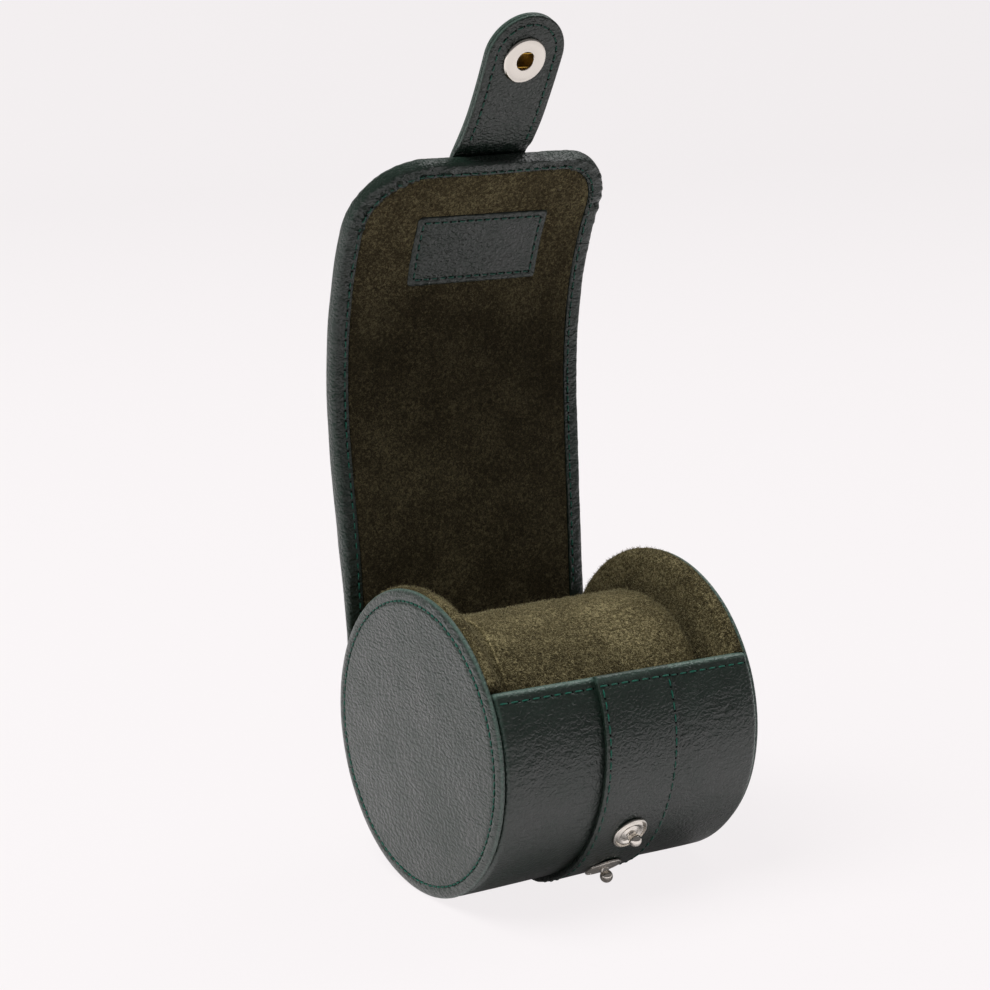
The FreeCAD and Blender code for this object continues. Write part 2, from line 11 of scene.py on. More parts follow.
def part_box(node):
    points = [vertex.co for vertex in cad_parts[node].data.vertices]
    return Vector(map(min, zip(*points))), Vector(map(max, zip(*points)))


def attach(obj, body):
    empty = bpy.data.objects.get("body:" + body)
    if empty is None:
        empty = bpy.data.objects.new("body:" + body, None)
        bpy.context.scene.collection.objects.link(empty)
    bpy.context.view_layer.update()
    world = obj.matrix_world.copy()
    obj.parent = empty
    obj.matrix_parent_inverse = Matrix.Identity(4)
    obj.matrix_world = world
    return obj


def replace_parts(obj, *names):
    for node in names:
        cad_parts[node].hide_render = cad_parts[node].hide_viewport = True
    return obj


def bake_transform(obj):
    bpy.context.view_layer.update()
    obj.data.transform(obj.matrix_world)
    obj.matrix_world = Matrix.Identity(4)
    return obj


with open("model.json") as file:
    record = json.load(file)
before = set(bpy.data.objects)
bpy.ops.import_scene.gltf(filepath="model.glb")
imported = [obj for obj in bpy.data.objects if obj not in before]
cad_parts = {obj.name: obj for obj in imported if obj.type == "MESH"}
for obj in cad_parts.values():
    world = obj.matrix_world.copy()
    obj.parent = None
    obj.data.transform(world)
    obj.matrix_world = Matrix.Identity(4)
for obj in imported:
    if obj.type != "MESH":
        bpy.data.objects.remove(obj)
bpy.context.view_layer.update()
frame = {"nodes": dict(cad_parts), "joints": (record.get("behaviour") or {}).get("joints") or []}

# Watch roll in green leather and olive suede: X along the roll, -Y to the front, Z up, in metres
mm = 0.001


# Small helpers

def hexColour(text):  # sRGB hex to linear
    channels = [int(text[k:k + 2], 16) / 255 for k in (1, 3, 5)]
    return [c / 12.92 if c < 0.04045 else ((c + 0.055) / 1.055) ** 2.4 for c in channels] + [1.0]


def setInputs(node, given):  # by name or number; a node among the values stands for its first output
    for key, value in given.items():
        named = [socket for socket in node.inputs if socket.enabled and socket.name == key]
        socket = named[0] if named else node.inputs[key]
        if isinstance(value, bpy.types.Node):
            value = next(output for output in value.outputs if output.enabled)
        if isinstance(value, bpy.types.NodeSocket):
            node.id_data.links.new(value, socket)
        else:
            socket.default_value = value
    return node


def addNode(tree, kind, given=None, **settings):
    node = tree.nodes.new(kind)
    for key, value in settings.items():
        setattr(node, key, value)
    return setInputs(node, given or {})


def ease(value, low, high):  # smooth step from 0 at low to 1 at high
    share = np.clip((value - low) / (high - low), 0, 1)
    return share * share * (3 - 2 * share)


def softNoise(points, seed):  # smooth random values from -1 to 1 on a unit lattice
    cells = np.floor(points).astype(int)
    share = points - cells
    share = share * share * (3 - 2 * share)
    primes = np.array([12.9898, 78.233, 37.719])[:points.shape[-1]]
    total = np.zeros(points.shape[:-1])
    for corner in itertools.product((0, 1), repeat=points.shape[-1]):
        value = np.modf(np.abs(np.sin((cells + corner) @ primes + seed) * 43758.5453))[0]
        total += value * np.prod(np.where(corner, share, 1 - share), axis=-1)
    return total * 2 - 1


def noiseAt(seed, *parts):  # the same noise from separate coordinates
    return softNoise(np.stack(np.broadcast_arrays(*parts), axis=-1), seed)


def puckerAt(away, wide, run, pitch):  # a sewn groove, deeper at every stitch
    return np.exp(-(away / wide) ** 2) * (0.7 + 0.3 * np.cos(2 * math.pi * run / pitch))


def roundArc(centre, radius, start, stop, count):  # points of an arc, angles in degrees
    return [(centre[0] + radius * math.cos(turn), centre[1] + radius * math.sin(turn))
            for turn in np.radians(np.linspace(start, stop, count))]


def gridFaces(rows, columns, start=0):
    return [(start + r * columns + c, start + r * columns + c + 1,
             start + (r + 1) * columns + c + 1, start + (r + 1) * columns + c)
            for r in range(rows - 1) for c in range(columns - 1)]


def newMesh(name, points, edges=(), faces=()):
    mesh = bpy.data.meshes.new(name)
    mesh.from_pydata(np.asarray(points).tolist(), edges, faces)
    return mesh


def addObject(name, data):
    made = bpy.data.objects.new(name, data)
    bpy.context.scene.collection.objects.link(made)
    return made


def cleanMesh(mesh):  # doubled points and empty faces go, and the rest face outwards
    work = bmesh.new()
    work.from_mesh(mesh)
    bmesh.ops.remove_doubles(work, verts=work.verts, dist=0.002 * mm)
    bmesh.ops.dissolve_degenerate(work, edges=work.edges, dist=0.001 * mm)
    bmesh.ops.recalc_face_normals(work, faces=work.faces)
    work.to_mesh(mesh)
    work.free()


def makePiece(name, points, faces, material, sharpAngle=40):
    mesh = newMesh(name, points, faces=faces)
    cleanMesh(mesh)
    mesh.materials.append(material)
    mesh.shade_smooth()
    mesh.set_sharp_from_angle(angle=math.radians(sharpAngle))
    return addObject(name, mesh)


def makePlain(piece):  # the evaluated result as a plain mesh, with no modifier left
    evaluated = piece.evaluated_get(bpy.context.evaluated_depsgraph_get())
    mesh = bpy.data.meshes.new_from_object(evaluated)
    piece.modifiers.clear()
    piece.data = mesh
    return piece


def runTree(piece, tree, **values):  # tree inputs are set by identifier
    modifier = piece.modifiers.new(tree.name, "NODES")
    modifier.node_group = tree
    for item in tree.interface.items_tree:
        key = item.name.replace(" ", "")
        if item.in_out == "INPUT" and key in values:
            modifier[item.identifier] = values[key]
    return makePlain(piece)


def setValues(piece, label, values):  # leather's pale value is partly rubbed wear and partly painted highlight; suede's value is partly paler nap and partly painted light and painted shade
    data = piece.data.attributes.new(label, "FLOAT", "POINT").data
    data.foreach_set("value", np.broadcast_to(values, len(data)).astype(np.float32))


def pointsOf(piece, kind="co"):
    points = np.empty(len(piece.data.vertices) * 3)
    piece.data.vertices.foreach_get(kind, points)
    return points.reshape(-1, 3)


# Finishes

finishes = {
    "leather": {"base": "#101b15", "light": "#1a2921", "worn": "#6f8a7f", "grain": 0.7 * mm, "fold": 2.2 * mm,
                "pore": 0.35 * mm, "poreDeep": 0.03 * mm, "patch": 9 * mm, "roughness": 0.37, "uneven": 0.06},
    "suede": {"tuft": 0.9 * mm, "patch": 12 * mm, "deep": 0.4 * mm, "sheen": "#8d8262"},
    "liningSuede": {"dark": "#1c180f", "base": "#3b3526", "light": "#6e674d", "nap": 0.34 * mm},
    "padSuede": {"dark": "#120f08", "base": "#3c3624", "light": "#807758", "nap": 0.36 * mm},
    "fibre": {"dark": "#3a3423", "light": "#aaa07b", "tuft": 0.5 * mm},
    "thread": {"base": "#126350", "dark": "#0a3f34", "twist": 0.45 * mm, "fuzz": 4 * mm, "deep": 0.06 * mm},
    "hole": {"base": "#050a08", "torn": 0.2 * mm},
    "metal": {"rubbing": 0.8 * mm, "deep": 0.01 * mm, "uneven": 0.1},
    "nickel": {"base": "#cfcac2", "roughness": 0.14},
    "brass": {"base": "#b08a3c", "roughness": 0.28},
    "oldBrass": {"base": "#a08650", "roughness": 0.4},
}


def newMaterial(name):
    material = bpy.data.materials.new(name)
    material.use_nodes = True
    tree = material.node_tree
    return material, tree, tree.nodes["Principled BSDF"]


# Goatskin, drum dyed and pigment finished: small drawn-out grain with a low sheen, pale where it is rubbed
# and where a highlight is painted on
def makeLeather(name, grainDeep, foldDeep, stretch, specular):
    look = finishes["leather"]
    material, tree, shader = newMaterial(name)
    place = addNode(tree, "ShaderNodeTexCoord").outputs["Object"]
    drawn = addNode(tree, "ShaderNodeMapping", {"Vector": place, "Scale": stretch})
    pebble = addNode(tree, "ShaderNodeTexNoise", {
        "Vector": drawn, "Scale": 1 / look["grain"], "Detail": 0.6, "Roughness": 0.5, "Distortion": 0.6})
    raised = addNode(tree, "ShaderNodeMapRange", {"Value": pebble, "From Min": 0.3, "From Max": 0.68})
    folds = addNode(tree, "ShaderNodeTexNoise", {
        "Vector": drawn, "Scale": 1 / look["fold"], "Detail": 2.0, "Distortion": 1.2})
    pores = addNode(tree, "ShaderNodeTexNoise", {"Vector": place, "Scale": 1 / look["pore"], "Detail": 2.0})
    patches = addNode(tree, "ShaderNodeTexNoise", {
        "Vector": place, "Scale": 1 / look["patch"], "Detail": 5.0})
    tint = addNode(tree, "ShaderNodeMix", {
        "Factor": patches, "A": hexColour(look["base"]), "B": hexColour(look["light"])}, data_type="RGBA")
    # the pale mix below is rubbed wear in some places and painted highlight in others
    wearAndHighlight = addNode(tree, "ShaderNodeAttribute", attribute_name="wearAndHighlight").outputs["Fac"]
    paleShare = addNode(tree, "ShaderNodeMath", {0: wearAndHighlight, 1: pores}, operation="MULTIPLY")
    wornAndHighlighted = addNode(tree, "ShaderNodeMix", {
        "Factor": paleShare, "A": tint, "B": hexColour(look["worn"])}, data_type="RGBA")
    gloss = addNode(tree, "ShaderNodeMapRange", {
        "Value": patches, "From Min": 0.3, "From Max": 0.7, "To Min": look["roughness"] - look["uneven"],
        "To Max": look["roughness"] + look["uneven"]})
    layers = (pores, look["poreDeep"], 0.6), (raised, grainDeep, 1.0), (folds, foldDeep, 1.0)
    bump = None
    for height, deep, strength in layers:
        under = {"Normal": bump} if bump else {}
        bump = addNode(tree, "ShaderNodeBump", {
            "Height": height, "Distance": deep, "Strength": strength, **under})
    setInputs(shader, {
        "Base Color": wornAndHighlighted, "Roughness": gloss, "Specular IOR Level": specular, "Normal": bump})
    return material


# Pigskin suede, buffed on the flesh side: a short soft nap in small tufts, made paler or darker by a value
# that holds paler nap and also painted light and painted shade
def makeSuede(name, look):
    both = finishes["suede"]
    material, tree, shader = newMaterial(name)
    place = addNode(tree, "ShaderNodeTexCoord").outputs["Object"]
    fine = addNode(tree, "ShaderNodeTexNoise", {
        "Vector": place, "Scale": 1 / look["nap"], "Detail": 3.0, "Roughness": 0.75})
    tufts = addNode(tree, "ShaderNodeTexNoise", {
        "Vector": place, "Scale": 1 / both["tuft"], "Detail": 3.0, "Distortion": 1.0})
    patches = addNode(tree, "ShaderNodeTexNoise", {
        "Vector": place, "Scale": 1 / both["patch"], "Detail": 2.0})
    pile = addNode(tree, "ShaderNodeMath", {0: fine, 1: 1.2, 2: tufts}, operation="MULTIPLY_ADD")
    soft = addNode(tree, "ShaderNodeMath", {0: patches, 1: 0.4, 2: pile}, operation="MULTIPLY_ADD")
    spread = addNode(tree, "ShaderNodeMapRange", {"Value": soft, "From Min": 1.02, "From Max": 1.6})
    ramp = addNode(tree, "ShaderNodeValToRGB", {"Fac": spread})
    ramp.color_ramp.elements[0].color = hexColour(look["dark"])
    ramp.color_ramp.elements[1].color = hexColour(look["light"])
    ramp.color_ramp.elements.new(0.5).color = hexColour(look["base"])
    brushed = addNode(tree, "ShaderNodeAttribute", attribute_name="brushed").outputs["Fac"]
    paler = addNode(tree, "ShaderNodeMath", {0: brushed, 1: 1.0}, operation="ADD")
    shown = addNode(tree, "ShaderNodeVectorMath", {0: ramp, "Scale": paler}, operation="SCALE")
    rough = addNode(tree, "ShaderNodeBump", {"Height": pile, "Distance": both["deep"], "Strength": 1.0})
    setInputs(shader, {
        "Base Color": shown, "Roughness": 0.95, "Specular IOR Level": 0.1, "Sheen Weight": 0.3,
        "Sheen Roughness": 0.5, "Sheen Tint": hexColour(both["sheen"]), "Normal": rough})
    return material


# Raised suede fibre: drawn coarser than real nap, so that it shows, and paler at random
def makeFibre():
    look = finishes["fibre"]
    material, tree, shader = newMaterial("raisedSuedeFibre")
    place = addNode(tree, "ShaderNodeTexCoord").outputs["Object"]
    mottle = addNode(tree, "ShaderNodeTexNoise", {"Vector": place, "Scale": 1 / look["tuft"], "Detail": 2.0})
    spread = addNode(tree, "ShaderNodeMapRange", {"Value": mottle, "From Min": 0.3, "From Max": 0.7})
    tint = addNode(tree, "ShaderNodeMix", {
        "Factor": spread, "A": hexColour(look["dark"]), "B": hexColour(look["light"])}, data_type="RGBA")
    setInputs(shader, {"Base Color": tint, "Roughness": 0.9, "Specular IOR Level": 0.15})
    return material


# Bonded polyester thread: a tight twist with a soft gleam
def makeThread():
    look = finishes["thread"]
    material, tree, shader = newMaterial("bondedThread")
    place = addNode(tree, "ShaderNodeTexCoord").outputs["Object"]
    twist = addNode(tree, "ShaderNodeTexWave", {
        "Vector": place, "Scale": 0.05 / look["twist"], "Distortion": 1.5})
    fuzz = addNode(tree, "ShaderNodeTexNoise", {"Vector": place, "Scale": 1 / look["fuzz"], "Detail": 2.0})
    tint = addNode(tree, "ShaderNodeMix", {
        "Factor": fuzz, "A": hexColour(look["dark"]), "B": hexColour(look["base"])}, data_type="RGBA")
    strands = addNode(tree, "ShaderNodeBump", {
        "Height": twist.outputs["Fac"], "Distance": look["deep"], "Strength": 0.7})
    setInputs(shader, {"Base Color": tint, "Roughness": 0.55, "Normal": strands})
    return material


# Painted shade in a needle hole: a near-black disc where the hole's inside lies in shadow
def makeHoleShade():
    look = finishes["hole"]
    material, tree, shader = newMaterial("paintedHoleShade")
    place = addNode(tree, "ShaderNodeTexCoord").outputs["Object"]
    torn = addNode(tree, "ShaderNodeTexNoise", {"Vector": place, "Scale": 1 / look["torn"]})
    shade = addNode(tree, "ShaderNodeMapRange", {"Value": torn, "To Min": 0.8, "To Max": 1.0})
    setInputs(shader, {"Base Color": hexColour(look["base"]), "Roughness": shade, "Specular IOR Level": 0.1})
    return material


# Plated and drawn metal: bright, with faint rubbing marks
def makeMetal(name, look):
    both = finishes["metal"]
    material, tree, shader = newMaterial(name)
    place = addNode(tree, "ShaderNodeTexCoord").outputs["Object"]
    rubbing = addNode(tree, "ShaderNodeTexNoise", {
        "Vector": place, "Scale": 1 / both["rubbing"], "Detail": 4.0})
    gloss = addNode(tree, "ShaderNodeMapRange", {
        "Value": rubbing, "To Min": look["roughness"] - both["uneven"],
        "To Max": look["roughness"] + both["uneven"]})
    marks = addNode(tree, "ShaderNodeBump", {"Height": rubbing, "Distance": both["deep"], "Strength": 0.3})
    setInputs(shader, {
        "Base Color": hexColour(look["base"]), "Roughness": gloss, "Metallic": 1.0, "Normal": marks})
    return material


discLeather = makeLeather("goatLeatherPebbled", grainDeep=0.2 * mm, foldDeep=0.05 * mm,
                          stretch=(0.9, 0.56, 1.0), specular=0.8)
wallLeather = makeLeather("goatLeatherCreased", grainDeep=0.11 * mm, foldDeep=0.05 * mm,
                          stretch=(0.85, 1.0, 1.0), specular=0.62)
flapLeather = makeLeather("goatLeatherTurned", grainDeep=0.17 * mm, foldDeep=0.1 * mm,
                          stretch=(0.7, 1.0, 1.0), specular=0.55)
liningSuede = makeSuede("buffedLiningSuede", finishes["liningSuede"])
padSuede = makeSuede("buffedPadSuede", finishes["padSuede"])
fibre = makeFibre()
thread = makeThread()
holeShade = makeHoleShade()
nickel = makeMetal("platedNickel", finishes["nickel"])
brass = makeMetal("drawnBrass", finishes["brass"])
oldBrass = makeMetal("tarnishedBrass", finishes["oldBrass"])
print("finishes made")


# Node trees: stitches on a row of points, a welt on a line, round pieces turned from a profile, and nap

def newTree(name, inputs):
    tree = bpy.data.node_groups.new(name, "GeometryNodeTree")
    for label, kind in {"Geometry": "Geometry", **inputs}.items():
        tree.interface.new_socket(label, in_out="INPUT", socket_type=f"NodeSocket{kind}")
    tree.interface.new_socket("Geometry", in_out="OUTPUT", socket_type="NodeSocketGeometry")
    return tree, addNode(tree, "NodeGroupInput").outputs


def endTree(tree, geometry, material):
    realized = addNode(tree, "GeometryNodeRealizeInstances", {"Geometry": geometry})
    smooth = addNode(tree, "GeometryNodeSetShadeSmooth", {"Geometry": realized})
    painted = addNode(tree, "GeometryNodeSetMaterial", {"Geometry": smooth, "Material": material})
    addNode(tree, "NodeGroupOutput", {"Geometry": painted})
    return tree


def makeStitchTree():
    tree, given = newTree("sewnRow", {"Stitch Length": "Float", "Thread Radius": "Float", "Rise": "Float",
                                      "Thread": "Material", "Hole": "Material"})
    shares = {"left": ("Stitch Length", -0.5), "right": ("Stitch Length", 0.5),
              "dip": ("Thread Radius", -1.4), "wide": ("Thread Radius", 1.7), "top": ("Rise", 2.0)}
    sizes = {name: addNode(tree, "ShaderNodeMath", {0: given[label], 1: share}, operation="MULTIPLY")
             for name, (label, share) in shares.items()}
    start, end = [addNode(tree, "ShaderNodeCombineXYZ", {"X": sizes[side], "Z": sizes["dip"]})
                  for side in ("left", "right")]
    crest = addNode(tree, "ShaderNodeCombineXYZ", {"Z": sizes["top"]})
    arc = addNode(tree, "GeometryNodeCurveQuadraticBezier", {
        "Resolution": 6, "Start": start, "Middle": crest, "End": end})
    ring = addNode(tree, "GeometryNodeCurvePrimitiveCircle", {
        "Resolution": 6, "Radius": given["Thread Radius"]})
    loop = addNode(tree, "GeometryNodeCurveToMesh", {"Curve": arc, "Profile Curve": ring, "Fill Caps": True})
    # the mouth is a thin dark disc of painted shade at each needle hole
    mouth = addNode(tree, "GeometryNodeMeshCone", {
        "Vertices": 7, "Radius Top": 0.16 * mm, "Depth": 0.06 * mm, "Radius Bottom": sizes["wide"]},
        fill_type="NGON")
    pierced = addNode(tree, "ShaderNodeCombineXYZ", {"X": sizes["right"]})
    hole = addNode(tree, "GeometryNodeTransform", {"Geometry": mouth, "Translation": pierced})
    marked = addNode(tree, "GeometryNodeStoreNamedAttribute", {
        "Geometry": hole, "Name": "mouth", "Value": True}, data_type="BOOLEAN", domain="FACE")
    pair = addNode(tree, "GeometryNodeJoinGeometry", {"Geometry": marked})
    setInputs(pair, {"Geometry": loop})
    along, outward = [addNode(tree, "GeometryNodeInputNamedAttribute", {"Name": name},
                              data_type="FLOAT_VECTOR") for name in ("along", "outward")]
    turn = addNode(tree, "FunctionNodeAxesToRotation", {
        "Primary Axis": outward, "Secondary Axis": along}, primary_axis="Z", secondary_axis="X")
    pull = addNode(tree, "FunctionNodeRandomValue", {"Min": 0.9, "Max": 1.06, "Seed": 7}, data_type="FLOAT")
    sewn = addNode(tree, "GeometryNodeInstanceOnPoints", {
        "Points": given["Geometry"], "Instance": pair, "Rotation": turn, "Scale": pull})
    realized = addNode(tree, "GeometryNodeRealizeInstances", {"Geometry": sewn})
    threads = addNode(tree, "GeometryNodeSetMaterial", {"Geometry": realized, "Material": given["Thread"]})
    mouths = addNode(tree, "GeometryNodeInputNamedAttribute", {"Name": "mouth"}, data_type="BOOLEAN")
    pricked = addNode(tree, "GeometryNodeSetMaterial", {
        "Geometry": threads, "Material": given["Hole"], "Selection": mouths})
    addNode(tree, "NodeGroupOutput", {"Geometry": pricked})
    return tree


def makeWeltTree():
    tree, given = newTree("sewnWelt", {"Radius": "Float", "Finish": "Material"})
    line = addNode(tree, "GeometryNodeMeshToCurve", {"Mesh": given["Geometry"]})
    ring = addNode(tree, "GeometryNodeCurvePrimitiveCircle", {"Resolution": 8, "Radius": given["Radius"]})
    tube = addNode(tree, "GeometryNodeCurveToMesh", {"Curve": line, "Profile Curve": ring})
    return endTree(tree, tube, given["Finish"])


def makeTurnedTree():
    tree, given = newTree("turnedPiece", {"Segments": "Int", "Finish": "Material"})
    size = addNode(tree, "GeometryNodeAttributeDomainSize", {"Geometry": given["Geometry"]})
    count = size.outputs["Point Count"]
    around = addNode(tree, "ShaderNodeMath", {0: given["Segments"], 1: 1.0}, operation="ADD")
    sheet = addNode(tree, "GeometryNodeMeshGrid", {"Vertices X": around, "Vertices Y": count})
    index = addNode(tree, "GeometryNodeInputIndex")
    row = addNode(tree, "ShaderNodeMath", {0: index, 1: count}, operation="MODULO")
    column = addNode(tree, "ShaderNodeMath", {0: index, 1: count}, operation="DIVIDE")
    whole = addNode(tree, "ShaderNodeMath", {0: column}, operation="FLOOR")
    share = addNode(tree, "ShaderNodeMath", {0: whole, 1: given["Segments"]}, operation="DIVIDE")
    angle = addNode(tree, "ShaderNodeMath", {0: share, 1: 2 * math.pi}, operation="MULTIPLY")
    spot = addNode(tree, "GeometryNodeInputPosition")
    point = addNode(tree, "GeometryNodeSampleIndex", {
        "Geometry": given["Geometry"], "Value": spot, "Index": row}, data_type="FLOAT_VECTOR")
    parts = addNode(tree, "ShaderNodeSeparateXYZ", {0: point}).outputs
    turns = [addNode(tree, "ShaderNodeMath", {0: angle}, operation=kind) for kind in ("COSINE", "SINE")]
    flat = [addNode(tree, "ShaderNodeMath", {0: parts["X"], 1: turn}, operation="MULTIPLY") for turn in turns]
    place = addNode(tree, "ShaderNodeCombineXYZ", {"X": flat[0], "Y": flat[1], "Z": parts["Z"]})
    turned = addNode(tree, "GeometryNodeSetPosition", {"Geometry": sheet, "Position": place})
    closed = addNode(tree, "GeometryNodeMergeByDistance", {"Geometry": turned, "Distance": 0.001 * mm})
    return endTree(tree, closed, given["Finish"])


def makeNapTree():
    tree, given = newTree("suedeNap", {"Density": "Float", "Length": "Float", "Width": "Float", "Seed": "Int",
                                       "Finish": "Material"})
    spots = addNode(tree, "GeometryNodeDistributePointsOnFaces", {
        "Mesh": given["Geometry"], "Density": given["Density"], "Seed": given["Seed"]})
    hair = addNode(tree, "GeometryNodeMeshCone", {
        "Vertices": 3, "Side Segments": 1, "Fill Segments": 1, "Radius Top": 0.0,
        "Radius Bottom": given["Width"], "Depth": given["Length"]}, fill_type="NGON")
    tilt = addNode(tree, "FunctionNodeRandomValue", {
        "Min": (-1.1, -1.1, -3.1), "Max": (1.1, 1.1, 3.1), "Seed": given["Seed"]}, data_type="FLOAT_VECTOR")
    leaning = addNode(tree, "FunctionNodeRotateRotation", {
        "Rotation": spots.outputs["Rotation"], "Rotate By": tilt}, rotation_space="LOCAL")
    size = addNode(tree, "FunctionNodeRandomValue", {"Min": 0.5, "Max": 1.3, "Seed": 3}, data_type="FLOAT")
    fur = addNode(tree, "GeometryNodeInstanceOnPoints", {
        "Points": spots, "Instance": hair, "Rotation": leaning, "Scale": size})
    return endTree(tree, fur, given["Finish"])


stitchTree = makeStitchTree()
weltTree = makeWeltTree()
napTree = makeNapTree()
turnedTree = makeTurnedTree()
stitch = {"radius": 0.21 * mm, "rise": 0.26 * mm, "share": 0.78, "sunk": 0.06 * mm}
nap = {"density": 3.0 / mm ** 2, "length": 0.8 * mm, "width": 0.06 * mm}


def sew(name, rows, length, radius=stitch["radius"]):  # rows hold points, directions and normals
    points, along, outward = [np.concatenate([row[k] for row in rows]) for k in range(3)]
    piece = addObject(name, newMesh(name, points))
    for label, values in (("along", along), ("outward", outward)):
        piece.data.attributes.new(label, "FLOAT_VECTOR", "POINT").data.foreach_set("vector", values.ravel())
    runTree(piece, stitchTree, StitchLength=length, ThreadRadius=radius, Rise=stitch["rise"], Thread=thread,
            Hole=holeShade)
    return piece


def turnPiece(name, profile, segments, material, place, sharpAngle=38):  # profile of (radius, height), axis Z
    edges = [(k, k + 1) for k in range(len(profile) - 1)]
    piece = addObject(name, newMesh(name, [(r, 0, h) for r, h in profile], edges))
    runTree(piece, turnedTree, Segments=segments, Finish=material)
    piece.data.transform(place)
    cleanMesh(piece.data)
    piece.data.set_sharp_from_angle(angle=math.radians(sharpAngle))
    return piece


def growNap(piece, seed, shown):  # short fibres standing where the suede shows
    work = bmesh.new()
    work.from_mesh(piece.data)
    hidden = [face for face in work.faces if not shown(face.calc_center_median(), face.normal)]
    bmesh.ops.delete(work, geom=hidden, context="FACES")
    name = f"{piece.name}_nap"
    fur = addObject(name, bpy.data.meshes.new(name))
    work.to_mesh(fur.data)
    work.free()
    runTree(fur, napTree, Density=nap["density"], Length=nap["length"], Width=nap["width"], Seed=seed,
            Finish=fibre)
    return fur


# Roll

leftFace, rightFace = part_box("left_end_face"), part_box("right_end_face")
rollRadius = (leftFace[1].z - leftFace[0].z) / 2
axisHeight = (leftFace[1].z + leftFace[0].z) / 2
rollEnd = rightFace[1].x
faceBack = rightFace[0].x
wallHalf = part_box("wall_leather")[1].x
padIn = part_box("right_end_pad")[0].x
bandX = [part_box("front_band")[k].x for k in (0, 1)]
bandMiddle, bandHalf = (bandX[0] + bandX[1]) / 2, (bandX[1] - bandX[0]) / 2


def onRoll(angle, radius, x):  # angle from +Y towards +Z, in degrees
    turn = np.radians(angle)
    parts = np.broadcast_arrays(x, radius * np.cos(turn), axisHeight + radius * np.sin(turn))
    return np.stack(parts, axis=-1)


def outOfRoll(angle):  # direction away from the axis
    return onRoll(angle, 1.0, 0.0) - np.array([0, 0, axisHeight])


def awayFromAxis(points):
    return np.hypot(points[:, 1], points[:, 2] - axisHeight)


def turnOnRoll(points):
    return np.degrees(np.arctan2(points[:, 2] - axisHeight, points[:, 1])) % 360


endFace = {"rim": 2.5 * mm, "rimDeep": 1.0 * mm, "puff": 0.35 * mm, "sewnIn": 3.1 * mm, "groove": 0.3 * mm,
           "grooveWide": 0.55 * mm, "pitch": 2.05 * mm, "thread": 0.19 * mm, "stitchShare": 0.8,
           "segments": 288, "pull": 0.06 * mm, "pullWide": 0.9 * mm, "drift": 0.06 * mm,
           "driftSize": 9 * mm, "wearAndHighlight": 0.6,
           "bead": [(0.05, 0.45), (0.22, 0.22), (0.5, 0.06), (0.85, 0.0)]}
faceSewn = rollRadius - endFace["sewnIn"]


def faceHeight(radius):  # outside of an end face above its flat back
    look = endFace
    height = rollEnd - faceBack - look["puff"] + look["puff"] * (1 - (radius / rollRadius) ** 2)
    height -= look["groove"] * np.exp(-((radius - faceSewn) / look["grooveWide"]) ** 2)
    edge = np.clip((radius - (rollRadius - look["rim"])) / look["rim"], 0, 1)
    return float(height - look["rimDeep"] * (1 - np.sqrt(1 - edge ** 2.4)))


def makeEndFace(name, side):
    look = endFace
    spots = [*np.linspace(0, faceSewn - 2 * mm, 40),
             *np.linspace(faceSewn - 1.8 * mm, faceSewn + 1.5 * mm, 18)]
    spots += [rollRadius - look["rim"] * (1 - math.sin(turn)) for turn in np.radians(np.linspace(36, 90, 12))]
    profile = [(r, faceHeight(r)) for r in spots]
    profile += [(rollRadius - back * mm, high * mm) for back, high in look["bead"]] + [(0.0, 0.0)]
    facing = Matrix.Rotation(math.radians(90 * side), 4, "Y")
    place = Matrix.Translation((side * faceBack, 0, axisHeight)) @ facing
    piece = turnPiece(name, profile, look["segments"], discLeather, place)
    points = pointsOf(piece)
    away = awayFromAxis(points)
    count = round(2 * math.pi * faceSewn / look["pitch"])
    near = np.exp(-((away - faceSewn) / look["pullWide"]) ** 2)
    pull = near * look["pull"] * np.cos(np.radians(turnOnRoll(points)) * count)
    drift = softNoise(points[:, 1:] / look["driftSize"], 3) * look["drift"]
    points[:, 0] += side * np.where(np.abs(points[:, 0]) > faceBack + 0.8 * mm, pull + drift, 0)
    piece.data.vertices.foreach_set("co", points.ravel())
    # painted highlight: the rim's outer edge is mixed towards the pale leather colour as a lit line
    setValues(piece, "wearAndHighlight", look["wearAndHighlight"] * ease(away, rollRadius - 0.7 * mm, rollRadius - 0.1 * mm))
    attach(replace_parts(piece, name), "roll")
    turns = (np.arange(count) + 0.5) * 360 / count
    centre = onRoll(turns, faceSewn, side * (faceBack + faceHeight(faceSewn) + stitch["sunk"]))
    row = centre, outOfRoll(turns + 90), np.tile([side, 0.0, 0.0], (count, 1))
    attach(sew(f"{name}_stitches", [row], look["pitch"] * look["stitchShare"], look["thread"]), "roll")


for name, side in (("left_end_face", -1), ("right_end_face", 1)):
    makeEndFace(name, side)
print("end faces made")


# Wall of the roll: one shell of leather with a turned front lip

wall = {"thickness": 3.0 * mm, "frontLip": 149.0, "backLip": 382.0, "leftRound": 1.4 * mm,
        "rightRound": 1.8 * mm, "turnedIn": 4.5 * mm, "sewnDown": 3.2 * mm, "pitch": 3.0 * mm,
        "creaseHeight": 0.085 * mm, "creaseSize": (1.3 * mm, 2.8 * mm), "creasePatch": (4 * mm, 16 * mm),
        "rightFull": 1.1 * mm, "middleFull": 0.25 * mm, "rightReach": 0.5 * mm, "skew": 2.6,
        "pucker": 0.22 * mm, "puckerWide": 0.6 * mm, "swell": 0.06 * mm, "swellSize": (11 * mm, 13 * mm),
        "lipWear": 0.7, "leftWear": 0.4, "rightWear": 2.0, "lining": 0.55 * mm}


def lipShift(x, angle):  # the front lip sits a little higher at its left end
    return wall["skew"] * (1 - (x + wallHalf) / (2 * wallHalf)) * (1 - ease(angle, 150, 260))


